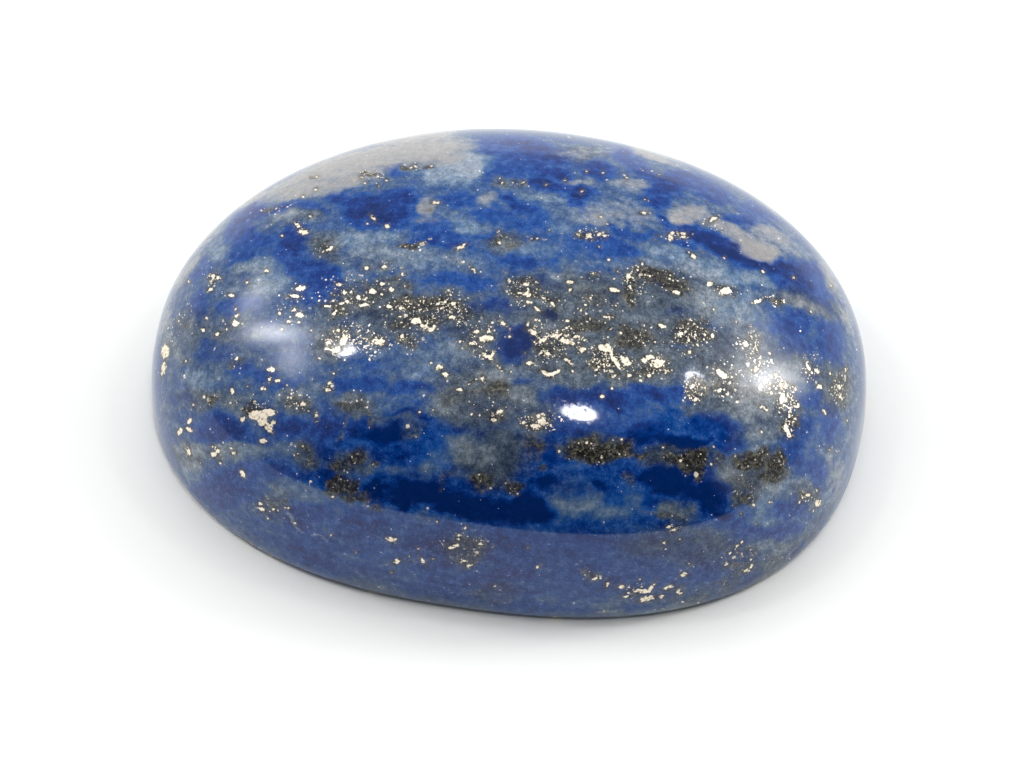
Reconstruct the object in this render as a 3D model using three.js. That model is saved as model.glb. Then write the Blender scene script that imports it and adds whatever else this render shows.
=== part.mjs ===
// A polished oval cabochon of lapis lazuli: a domed stone on a flat base.
//
// Millimetres, +Z up, +X along the stone's length. The flat base lies on z = 0,
// and the origin is at the centre of the bounding box's underside.

import * as THREE from 'three';

// Driving dimensions
const LENGTH = 25.0;
const WIDTH = 18.4;
const HEIGHT = 8.3; // flat base to crest
const GIRDLE_HEIGHT = 0.4; // the widest outline, above the rounded lower edge
const EDGE_INSET = 0.8; // flat base to outline, at the stone's ends

// The hand-cut outline is a little lopsided: where it reaches furthest each way
const RIGHT_END_Y = 0.5;
const LEFT_END_Y = -0.6;
const BACK_SIDE_X = 0.9;
const FRONT_SIDE_X = -1.0;

// How full each corner of the outline is: 2 is an ellipse, more is squarer
const RIGHT_BACK_FULLNESS = 2.2;
const LEFT_BACK_FULLNESS = 1.95;
const LEFT_FRONT_FULLNESS = 2.25;
const RIGHT_FRONT_FULLNESS = 2.5;

// The dome: where its crest is, and how steep its foot and how flat its top are
const CREST = new THREE.Vector2(0, -0.3);
const FOOT_STEEPNESS = 2.7;
const TOP_FLATNESS = 2.0;

// Facets
const SEGMENTS = 96;
const DOME_RINGS = 20;
const EDGE_RINGS = 4;

// The outline's four quarter curves. Each runs from an end of the stone, where it
// is parallel to Y, to a long side, where it is parallel to X.
const RIGHT = new THREE.Vector2(LENGTH / 2, RIGHT_END_Y);
const LEFT = new THREE.Vector2(-LENGTH / 2, LEFT_END_Y);
const BACK = new THREE.Vector2(BACK_SIDE_X, WIDTH / 2);
const FRONT = new THREE.Vector2(FRONT_SIDE_X, -WIDTH / 2);

function quarterAt(angle) {
  const toRight = Math.cos(angle) >= 0;
  const toBack = Math.sin(angle) >= 0;
  if (toBack) {
    return toRight
      ? { end: RIGHT, side: BACK, fullness: RIGHT_BACK_FULLNESS }
      : { end: LEFT, side: BACK, fullness: LEFT_BACK_FULLNESS };
  }
  return toRight
    ? { end: RIGHT, side: FRONT, fullness: RIGHT_FRONT_FULLNESS }
    : { end: LEFT, side: FRONT, fullness: LEFT_FRONT_FULLNESS };
}

// The point of the outline for an angle that runs once around the stone.
function outlineAt(angle) {
  const { end, side, fullness } = quarterAt(angle);
  const alongX = Math.abs(Math.cos(angle)) ** (2 / fullness);
  const alongY = Math.abs(Math.sin(angle)) ** (2 / fullness);
  return new THREE.Vector2(
    side.x + (end.x - side.x) * alongX,
    end.y + (side.y - end.y) * alongY,
  );
}

// The stone's profile from the middle of the base to the crest. x is the share of
// the way from the crest's foot to the outline, and y is the height.
function profilePoints() {
  const points = [new THREE.Vector2(0, 0)];
  const insetShare = EDGE_INSET / (LENGTH / 2);
  for (let ring = 0; ring < EDGE_RINGS; ring += 1) {
    const turn = (ring / EDGE_RINGS) * (Math.PI / 2);
    const share = 1 - insetShare * (1 - Math.sin(turn));
    points.push(new THREE.Vector2(share, GIRDLE_HEIGHT * (1 - Math.cos(turn))));
  }
  for (let ring = 0; ring < DOME_RINGS; ring += 1) {
    const rise = (ring / DOME_RINGS) * (Math.PI / 2);
    const share = Math.cos(rise) ** (2 / TOP_FLATNESS);
    const domeShare = Math.sin(rise) ** (2 / FOOT_STEEPNESS);
    points.push(new THREE.Vector2(share, GIRDLE_HEIGHT + (HEIGHT - GIRDLE_HEIGHT) * domeShare));
  }
  points.push(new THREE.Vector2(0, HEIGHT));
  return points;
}

// Turns the profile about Z, and stretches every ring from a circle to the outline.
function cabochonGeometry() {
  const geometry = new THREE.LatheGeometry(profilePoints(), SEGMENTS);
  geometry.rotateX(Math.PI / 2);
  const position = geometry.getAttribute('position');
  for (let i = 0; i < position.count; i += 1) {
    const share = Math.hypot(position.getX(i), position.getY(i));
    const angle = Math.atan2(position.getY(i), position.getX(i));
    const place = outlineAt(angle).sub(CREST).multiplyScalar(share).add(CREST);
    position.setXY(i, place.x, place.y);
  }
  geometry.computeVertexNormals();
  return geometry;
}

const polishedLapis = new THREE.MeshStandardMaterial({
  color: '#3c5a93',
  roughness: 0.1,
  metalness: 0,
});

const cabochon = new THREE.Mesh(cabochonGeometry(), polishedLapis);
cabochon.name = 'cabochon';

const stone = new THREE.Group();
stone.add(cabochon);

export default stone;
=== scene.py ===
"""A polished oval cabochon of lapis lazuli, dressed over its CAD solid.

One Operator makes the stone and its finish, and one makes the stage. Sizes are in metres
unless a name says millimetres.
"""

import math
import random
from collections import namedtuple
from functools import partial
from types import SimpleNamespace

import bmesh
import bpy
import numpy as np
from bpy.props import FloatProperty, FloatVectorProperty, IntProperty, PointerProperty
from mathutils import Matrix, Vector, noise
from mathutils.bvhtree import BVHTree


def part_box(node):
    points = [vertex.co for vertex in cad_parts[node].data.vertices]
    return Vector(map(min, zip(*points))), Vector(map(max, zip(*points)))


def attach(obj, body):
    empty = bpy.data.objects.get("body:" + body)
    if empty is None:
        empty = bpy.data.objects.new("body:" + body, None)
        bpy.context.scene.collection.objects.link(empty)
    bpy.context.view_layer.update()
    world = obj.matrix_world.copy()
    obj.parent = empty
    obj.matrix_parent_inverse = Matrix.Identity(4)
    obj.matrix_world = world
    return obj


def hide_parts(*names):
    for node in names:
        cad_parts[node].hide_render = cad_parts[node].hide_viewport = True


bl_info = {
    "name": "Lapis lazuli cabochon",
    "version": (1, 0, 0),
    "blender": (4, 5, 0),
    "location": "3D View > Sidebar > Lapis",
    "description": "Makes a polished oval lapis lazuli cabochon on a pale studio floor",
    "category": "Object",
}

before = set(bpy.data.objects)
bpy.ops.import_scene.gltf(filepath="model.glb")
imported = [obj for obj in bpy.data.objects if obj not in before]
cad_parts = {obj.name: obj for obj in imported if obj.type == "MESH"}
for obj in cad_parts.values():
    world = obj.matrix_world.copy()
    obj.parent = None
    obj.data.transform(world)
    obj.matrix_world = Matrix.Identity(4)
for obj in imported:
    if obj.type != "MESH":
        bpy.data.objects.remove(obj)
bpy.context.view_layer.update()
LOW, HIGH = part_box("cabochon")

MM = 0.001
PER_MM = 1 / MM
HALF_LENGTH = (HIGH.x - LOW.x) / 2
HALF_WIDTH = (HIGH.y - LOW.y) / 2
HEIGHT = HIGH.z - LOW.z

# The lopsided outline, as in the solid: where it reaches furthest each way, and how
# full each corner is (2 is an ellipse, more is squarer)
RIGHT_END_Y = 0.5 * MM
LEFT_END_Y = -0.6 * MM
BACK_SIDE_X = 0.9 * MM
FRONT_SIDE_X = -1.0 * MM
RIGHT_BACK_FULLNESS = 2.2
LEFT_BACK_FULLNESS = 1.95
LEFT_FRONT_FULLNESS = 2.25
RIGHT_FRONT_FULLNESS = 2.5
CREST_Y = -0.3 * MM
FOOT_STEEPNESS = 2.7
TOP_FLATNESS = 2.0

# The side that the stone is shown from. Its markings are placed on this view: across
# and up in millimetres from the view's middle, which is SHOW_MIDDLE in the stone.
SHOW_AZIMUTH = 10.6
SHOW_ELEVATION = 56.0
SHOW_DISTANCE = 250 * MM
SHOW_MIDDLE = Vector((0, CREST_Y, 3 * MM))
# How far the camera stands to the right of that view and below it, to frame the stone
CAMERA_RIGHT = 0.148 * MM
CAMERA_DOWN = 1.039 * MM

# A marking: its middle, half length and half width on the view in millimetres, its turn
# in degrees, and how strong it is
Mark = namedtuple("Mark", "across up half_length half_width turn strength", defaults=(0, 1))


# ---------------------------------------------------------------- markings

# Lazurite-rich streaks, deep blue; the first and the third are two broad bands that make
# the whole lower front darker
DEEP_STREAKS = [
    (0.5, -4, 9, 2, 0, 0.7), (1.5, 3.7, 2.4, 1, -4, 0.35), (0, -7.6, 9, 1.6, 0, 0.75),
    (-6.9, 5.15, 0.55, 0.15, -8, 0.7), (-6, 5.55, 0.55, 0.24, -10, 0.8),
    (-4.9, 5.35, 1, 0.25, 0, 0.9), (-4.3, 4.95, 1.2, 0.45, 0, 1), (-3.7, 5.4, 0.7, 0.35, 5, 1),
    (-5, 4.6, 0.6, 0.25, -5, 0.8), (-3.9, 6.45, 0.4, 0.25, -20, 0.6),
    (-8.3, 5.05, 0.8, 0.2, 10, 0.6), (-9.1, 4.9, 0.9, 0.25, 38, 0.9),
    (-7.5, 3.95, 0.6, 0.5, 0, 1), (-9, 4.05, 0.9, 0.3, 0, 0.7),
    (-7.5, 3.2, 0.9, 0.55, -20, 0.8), (-6.6, 2.75, 0.8, 0.5, -20, 0.9),
    (-9.3, 3.6, 0.6, 0.3, 0, 0.7), (-10.7, 3, 0.5, 0.25, 60, 0.5),
    (0.1, 7.2, 1.3, 0.5, -5, 0.8), (1.2, 6.95, 1.5, 0.4, -5, 0.9),
    (0.5, 6.5, 1.4, 0.35, -5, 0.7), (-0.5, 6.7, 0.5, 0.45, 0, 0.7), (1.7, 5.85, 1, 0.18, -8, 1),
    (2.6, 5.6, 0.6, 0.3, -5, 1), (2.35, 5.2, 0.45, 0.15, -20, 0.8),
    (3.1, 6.5, 0.5, 0.3, -10, 0.8), (1.9, 6.3, 0.5, 0.2, -10, 0.8),
    (3.9, 7.05, 0.6, 0.25, -20, 0.7), (4.4, 6.65, 0.7, 0.25, -30, 0.8),
    (-1.9, 5.4, 0.6, 0.3, 0, 0.8), (-1.3, 5.3, 0.4, 0.2, -10, 0.7),
    (-0.4, 4.9, 1.2, 0.25, -10, 0.6), (0.5, 5.15, 0.9, 0.2, -30, 0.8),
    (0.7, 4.5, 1.3, 0.2, -10, 0.6), (-2.6, 4.4, 0.8, 0.3, 0, 0.6), (-2.3, 3.95, 0.9, 0.3, 0, 1),
    (-0.9, 4.1, 0.6, 0.15, 10, 0.7), (0.5, 3.15, 0.9, 0.2, -10, 0.6),
    (1.5, 2.5, 0.8, 0.3, -5, 0.7), (1.7, 3.4, 0.3, 0.1, 0, 0.7),
    (3.3, 3.9, 0.8, 0.25, -15, 0.7), (4.2, 4.25, 0.9, 0.16, -10, 0.8),
    (4.2, 3.6, 0.7, 0.25, -5, 0.7), (5.9, 6.2, 0.9, 0.22, 0, 0.8),
    (5.5, 5.75, 0.8, 0.28, 5, 0.9), (6.6, 5.85, 1.3, 0.28, -10, 0.7),
    (7.4, 5.6, 0.4, 0.25, -20, 0.8), (5.35, 5.3, 0.45, 0.2, 10, 0.9),
    (5.5, 4.65, 0.5, 0.14, -30, 0.9), (6.4, 4.45, 0.5, 0.2, -20, 1),
    (6.8, 4.05, 1.1, 0.28, -18, 1.3), (7.9, 3.6, 1, 0.28, -22, 1.3),
    (8.8, 3.15, 0.8, 0.28, -12, 1.2), (9.4, 2.95, 0.9, 0.35, -5, 0.9),
    (10.1, 2.6, 0.9, 0.45, -15, 0.9), (10.75, 2.9, 0.35, 0.5, -60, 0.8),
    (10.9, 2.1, 0.6, 0.5, -50, 0.7), (8.6, 5.1, 0.7, 0.25, -30, 0.6),
    (8.3, 4.7, 0.7, 0.2, -15, 0.7), (8.7, 4.42, 0.3, 0.08, -10, 0.9),
    (6, 3.85, 0.5, 0.15, -10, 0.8), (-10.8, 1.7, 0.55, 0.28, 70, 0.8),
    (-9.5, 1.7, 0.6, 0.25, 10, 0.5), (-6.6, 2, 0.8, 0.35, 0, 0.8),
    (-4.9, 1.35, 0.6, 0.2, 0, 0.8), (-3.2, 1.5, 2.4, 0.8, 0, 0.35),
    (-10.4, 0.1, 0.7, 0.25, 0, 0.6), (-8.9, -0.6, 0.9, 0.25, -10, 0.7),
    (-8, -1, 0.8, 0.2, 0, 0.6), (-11.5, -1.6, 0.5, 0.18, 0, 0.8),
    (-10.1, -2.6, 1.1, 0.45, 0, 0.9), (-9.7, -3, 0.9, 0.2, 0, 0.8),
    (-7.6, -2.6, 0.9, 0.4, 0, 0.9), (-6.4, -2.7, 0.5, 0.4, 0, 0.9),
    (-5, -2.7, 0.6, 0.4, 0, 1.1), (-5.2, -1, 1, 0.3, 0, 0.8), (-3.3, -1.15, 0.9, 0.25, 0, 0.8),
    (-4.3, -2.8, 0.6, 0.5, 0, 1.56), (-3.4, -2.15, 0.8, 0.16, -10, 1.2),
    (-1.7, -2.6, 0.7, 0.25, 0, 0.8), (0.35, 0.35, 0.75, 0.5, 0, 1.35),
    (0.3, -0.2, 0.35, 0.2, 0, 0.9), (-1.6, 2.45, 1.1, 0.25, -8, 0.7),
    (-0.6, 1.65, 1.3, 0.25, 0, 1), (-1.8, 0.8, 0.9, 0.2, 0, 0.6), (1.4, 1.3, 0.4, 0.25, 0, 1.3),
    (3.4, 1.9, 0.5, 0.3, 0, 0.6), (0.4, -1, 0.4, 0.16, 0, 0.7), (2.6, -1.45, 1.3, 0.3, 0, 1),
    (3.8, -1.6, 0.5, 0.4, 0, 1), (4.9, -1.5, 1.3, 0.35, 0, 0.9), (2.4, -2.7, 0.5, 0.2, 0, 1),
    (4.9, -2.7, 1, 0.25, 0, 1.1), (7.1, -2.5, 1.2, 0.4, 0, 1), (10, 1, 0.9, 0.5, 0, 0.8),
    (11.3, 0.5, 0.5, 0.8, 0, 0.8), (10.1, 0.2, 0.9, 0.35, 0, 0.6),
    (10.6, -1.5, 0.5, 0.4, 0, 0.7), (10.2, -2.6, 0.5, 0.4, 0, 0.8),
    (11.2, -2.3, 0.4, 0.6, 0, 0.7), (5.9, 1.5, 0.7, 0.16, 0, 0.6), (7.4, 0.3, 0.5, 0.3, 0, 0.6),
    (4.7, 2.7, 0.4, 0.13, 0, 1.5), (5.4, 2.4, 0.35, 0.2, -40, 1.5),
    (-7.7, -4.2, 1.2, 0.28, 0, 0.9), (-6.3, -4.2, 0.5, 0.45, 0, 1.1),
    (-6.2, -3.3, 0.5, 0.4, 0, 0.9), (-4.5, -3.4, 0.5, 0.5, 0, 1),
    (-4.6, -4.8, 0.5, 0.5, 0, 1.56), (-3.5, -3.3, 0.9, 0.4, 0, 1),
    (-3.1, -4.8, 1.3, 0.45, -5, 1.44), (-3.2, -5.15, 1.1, 0.25, -8, 1.56),
    (-1.2, -5.65, 1.5, 0.25, -8, 1.56), (-1.3, -5.4, 1.6, 0.5, -6, 1.56),
    (0.6, -5.5, 1.4, 0.5, 0, 1.56), (1.4, -4.5, 0.7, 0.3, 0, 1.44),
    (0, -3.7, 0.6, 0.35, 0, 0.8), (1.5, -3.6, 0.35, 0.4, 0, 1), (3.2, -4.6, 0.3, 0.4, 0, 1.44),
    (2.2, -4.4, 0.5, 0.35, 0, 0.8), (4.8, -3, 0.9, 0.22, 0, 1.44),
    (6.2, -3.05, 1.2, 0.18, 0, 1.56), (7.6, -3.1, 0.6, 0.4, 0, 1),
    (5.5, -4.4, 1.2, 0.45, 0, 1.44), (6.9, -4.7, 0.9, 0.6, 0, 1.44),
    (7.2, -5.4, 0.7, 0.35, 0, 1.44), (5, -5.1, 0.6, 0.35, 0, 0.9),
    (9.9, -3.4, 0.5, 0.5, 0, 0.7), (10.9, -4, 0.5, 0.35, 0, 0.6),
    (9.7, -5.3, 0.8, 0.35, 0, 0.8), (9.5, -6.2, 0.9, 0.35, 0, 0.8),
    (-10, -4.7, 1.4, 0.7, 0, 0.8), (-7, -5.6, 1, 0.5, 0, 1), (-5.2, -6, 1.2, 0.6, 0, 0.8),
    (-6.5, -7.1, 1.5, 0.4, -15, 0.8), (-3, -6.5, 1, 0.4, 0, 0.8),
    (-2.2, -8.2, 1.2, 0.3, -5, 0.7), (0.4, -7, 1.4, 0.4, 0, 0.7), (2.6, -7, 1.2, 0.35, 0, 0.7),
    (4.4, -6.6, 0.8, 0.25, 0, 0.7), (6.6, -7.6, 0.8, 0.4, 0, 0.6),
    (1.8, -8.2, 1.4, 0.3, 0, 0.6), (5, -8.85, 1.2, 0.15, 5, 0.6), (8.6, -6.2, 0.8, 0.3, 0, 0.5),
]

# Calcite-rich streaks, steel blue to pale blue-grey
PALE_STREAKS = [
    (-5.3, 4, 0.7, 0.3, 0, 0.7), (-4.5, 3.75, 0.8, 0.35, 0, 0.6), (-4.2, 4.2, 0.5, 0.2, 0, 0.6),
    (-1.5, 6.5, 0.9, 0.45, 15, 1.5), (-2.3, 6.25, 0.8, 0.2, 0, 1.2),
    (-7.8, 4.8, 0.6, 0.14, 10, 0.9), (7.6, 1.6, 1.3, 0.6, -15, 0.8),
    (7, 2.9, 1.2, 0.4, -15, 0.9), (-3.6, 3.4, 0.9, 0.35, 0, 0.5),
    (-5.4, 2.75, 0.7, 0.25, 0, 0.5), (-8.9, 3, 0.9, 0.25, 0, 0.7),
    (-8.4, 2.5, 0.7, 0.5, 0, 0.8), (-9.9, 2.5, 0.6, 0.4, 0, 0.4),
    (-1.6, 4.5, 0.7, 0.22, -20, 0.6), (1.7, 4.5, 0.5, 0.18, 0, 0.6),
    (1.2, 5.4, 0.8, 0.16, -10, 0.5), (0.9, 3.6, 1.1, 0.28, 0, 0.6), (2, 3, 0.9, 0.4, 0, 0.7),
    (3.2, 3.2, 0.9, 0.2, -10, 0.6), (5.5, 3.5, 0.8, 0.28, -15, 0.7),
    (6.1, 3.1, 1.3, 0.25, -10, 0.6), (7.3, 2.9, 0.9, 0.22, -10, 0.6),
    (8.5, 2.65, 0.9, 0.3, -10, 0.9), (8, 2, 0.9, 0.25, -5, 0.5),
    (-10.1, 3.7, 0.5, 0.3, 50, 0.5), (-11, -0.9, 0.6, 0.35, 0, 0.6),
    (-11.6, 0.2, 0.4, 0.6, 0, 0.5), (-7.4, -1.6, 0.9, 0.35, 0, 0.5),
    (-5.7, -1.7, 0.5, 0.3, 0, 0.5), (-0.5, -0.8, 0.7, 0.3, 0, 0.7),
    (0.5, -1.5, 0.7, 0.3, 0, 0.6), (-1.7, 0, 0.7, 0.35, 0, 0.6), (-4, 0.1, 0.7, 0.2, 0, 0.5),
    (-3, -0.4, 0.8, 0.3, 0, 0.4), (-2.3, -1.7, 0.6, 0.4, 0, 0.5),
    (-11.2, -4.2, 0.4, 0.6, 0, 0.9), (-11, -3.3, 0.8, 0.25, 0, 0.7),
    (-9.2, -3.45, 1.4, 0.25, 0, 0.8), (-7.6, -3.4, 0.7, 0.25, 0, 0.6),
    (-8, -4.75, 1, 0.16, 0, 0.6), (-6.9, -4.9, 0.6, 0.3, 0, 0.5),
    (-4.9, -4.1, 0.5, 0.5, 0, 0.6), (-2.6, -3.8, 0.6, 0.4, 20, 0.7),
    (-3.9, -4.1, 0.7, 0.16, 0, 0.6), (-1.2, -3.4, 0.8, 0.5, 0, 1),
    (0.7, -2.6, 0.7, 0.4, 0, 0.6), (-0.3, -2.9, 0.5, 0.2, 0, 0.6),
    (2.3, -5.3, 0.8, 0.4, 0, 0.9), (3.6, -5.5, 0.8, 0.3, 0, 0.6), (2.5, -3.9, 0.5, 0.2, 0, 0.6),
    (4.3, -5, 0.5, 0.5, 0, 0.5), (5.7, -5.4, 0.6, 0.25, 0, 0.6), (7.8, -4.2, 0.5, 0.4, 0, 0.7),
    (9.3, -4.7, 0.5, 0.25, 0, 0.9), (8.9, -5.4, 0.5, 0.5, 0, 0.8), (8.8, -2.9, 0.6, 0.35, 0, 1),
    (9, -3.3, 0.9, 0.12, 0, 0.9), (8.4, -1.9, 0.8, 0.5, 0, 0.8), (10.2, -4.5, 0.5, 0.3, 0, 0.7),
    (10.9, -5.1, 0.4, 0.4, 0, 0.6), (9.2, -6.75, 0.8, 0.2, 0, 0.7),
    (-3.8, -7.5, 0.9, 0.25, -15, 0.6), (-4.3, -8.15, 1.1, 0.16, -12, 0.8),
    (-5.4, -7.2, 0.8, 0.14, -15, 0.5), (1.4, -8.5, 0.4, 0.25, 0, 0.7),
    (0.2, -8.5, 0.6, 0.15, 0, 0.4), (3.3, -8.85, 0.5, 0.16, 0, 0.6),
    (5.6, -7.3, 0.5, 0.16, 0, 0.4), (6.6, -6.3, 0.9, 0.2, 0, 0.3),
]

# Veins and patches of almost pure calcite, warm light grey
CALCITE_PATCHES = [
    (-10.4, 4.1, 0.8, 0.12, 46, 0.6), (-11.3, 2.8, 0.9, 0.16, 60, 0.9),
    (-11.9, 1.4, 0.8, 0.14, 74, 0.8), (-5.3, 6.15, 1, 0.25, 10, 1),
    (-6.9, 5.75, 1, 0.22, 20, 1), (-4.2, 6.75, 0.8, 0.25, 8, 1), (-2.3, 6.8, 0.8, 0.3, 8, 0.8),
    (-5.2, 7.25, 2.2, 0.4, 14, 1.1), (-7.7, 6.3, 1.4, 0.35, 28, 1.1),
    (-3.3, 7.55, 1.6, 0.35, 7, 1.1), (-5.4, 6.75, 2.6, 0.5, 15, 1.1),
    (-7.3, 6.05, 1.3, 0.35, 24, 1), (-3.1, 7.15, 1.9, 0.4, 8, 1.1),
    (-8.7, 5.5, 0.7, 0.2, 25, 0.8), (-7.9, 4.9, 0.6, 0.12, 10, 0.6),
    (3.3, 4.9, 0.9, 0.4, -5, 0.5), (4.4, 4.9, 0.7, 0.4, -5, 0.6), (3, 4.65, 0.5, 0.16, 0, 0.7),
    (4.3, 5.9, 0.6, 0.2, -10, 0.7), (2.6, 6.05, 0.7, 0.12, 0, 0.7),
    (2.4, 7, 0.6, 0.2, -5, 0.45), (3.3, 7.2, 0.4, 0.15, -5, 0.5), (6.3, 4.95, 0.7, 0.35, 0, 1),
    (7.4, 4.6, 0.8, 0.2, -15, 0.8), (8.2, 4.15, 1, 0.25, -15, 0.9),
    (8.7, 3.75, 1, 0.32, -18, 1.2), (9.3, 4.1, 0.9, 0.3, -25, 0.75),
    (9.9, 3.7, 0.7, 0.3, -30, 0.6), (5.1, 6.95, 1, 0.2, -18, 0.9),
    (9.3, 5, 0.8, 0.15, -35, 0.6), (-0.6, 5.4, 0.35, 0.2, 0, 0.7),
    (-2.8, 5.15, 0.5, 0.25, 80, 0.7), (-2.9, 4.6, 0.4, 0.16, 0, 0.5),
    (10.4, 1.75, 0.8, 0.25, -25, 0.45), (11.25, 2.7, 0.8, 0.2, -62, 0.8),
    (11.9, 1.2, 0.9, 0.14, -75, 0.6), (-11.4, 2.6, 0.5, 0.2, 60, 0.8),
    (-10.6, 3.9, 0.6, 0.15, 45, 0.5), (-11.8, 1.2, 0.6, 0.14, 75, 0.5),
    (8.6, -1.3, 0.8, 0.4, 0, 0.7), (11.5, -4.2, 0.3, 0.9, 0, 0.5),
]

# Grey diopside clouding the blue
HAZE_CLOUDS = [
    (10.4, 1.9, 1, 0.35, -25, 0.8), (11.6, -1.2, 0.6, 0.9, 0, 0.8),
    (8.3, -1.6, 1.6, 0.8, 0, 0.9), (6, -6.8, 2.2, 0.7, 0, 0.7), (-7.4, 4.8, 0.9, 0.3, 10, 0.5),
    (-6.9, -3.6, 0.5, 0.5, 0, 0.9), (-5.4, -3.8, 0.9, 0.5, 0, 1), (-5.5, 0.8, 1.6, 0.6, 0, 0.6),
    (-6.4, 3.7, 0.7, 0.6, 0, 0.7), (-4.9, 3.4, 1.3, 0.6, 0, 0.3),
    (-3.8, 1.5, 2.7, 0.8, -5, 1.1), (-1.6, 1.2, 1.2, 0.8, 0, 1), (-5.2, 1.6, 1.3, 0.7, 0, 0.8),
    (-10.8, 0.7, 1.6, 1, 0, 0.45), (-9.3, 2.6, 1, 0.5, 0, 0.3), (2.4, 7, 0.9, 0.3, -5, 0.6),
    (0.1, 5.9, 0.5, 0.2, 0, 0.5), (-0.1, 3.9, 0.6, 0.4, 0, 0.9), (-6.3, 0.3, 0.6, 0.5, 0, 0.9),
    (1.4, 1.1, 1.2, 0.8, 0, 1.1), (7, -2, 0.9, 0.4, 0, 0.7), (2.2, 1.6, 2.4, 1.4, 0, 1),
    (5.3, 1.6, 1.9, 1.4, 0, 0.9), (3.6, -0.2, 3.2, 0.9, 0, 1), (7.6, -0.2, 1.2, 1.2, 0, 0.9),
    (-0.6, 0.2, 1.4, 0.8, 0, 0.6), (11, 1.6, 0.9, 0.4, -10, 0.5),
    (-10.6, -1.6, 1.5, 0.35, 0, 0.6), (-7.4, -1.7, 0.6, 0.4, 0, 0.7),
    (-11.2, -3.5, 0.6, 0.4, 0, 0.6), (-8.6, -3.5, 1.6, 0.3, 0, 0.3),
    (-5.4, -1.9, 0.7, 0.5, 0, 1), (-3.9, -2.5, 1, 0.5, 0, 0.6), (-1, -1.6, 1.6, 1.2, 0, 1),
    (-0.6, -3.6, 1.3, 1.1, 0, 1.2), (0.6, -2.2, 1, 1.4, 0, 0.8), (-3.2, -4.1, 1.4, 0.3, 0, 0.4),
    (-8.1, -5.2, 0.5, 0.6, 0, 0.6), (-1.5, -6.9, 0.8, 0.6, 0, 0.7),
    (-0.4, -8.4, 0.8, 0.4, 0, 0.6), (2.2, -4.9, 1, 0.8, 0, 0.4), (5.9, -5.5, 0.6, 0.5, 0, 0.8),
    (9, -2.7, 1.3, 0.6, 0, 0.7), (9.2, -0.6, 1.2, 1, 0, 0.8), (10.3, -4.8, 0.7, 0.5, 0, 0.6),
    (9.3, -6.8, 1.4, 0.5, 0, 0.4), (6, -3.6, 1.4, 0.5, 0, 1.1), (3, -3.3, 1.4, 0.5, 0, 1.1),
    (8.6, -4.2, 1.2, 0.8, 0, 1.2),
]
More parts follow.
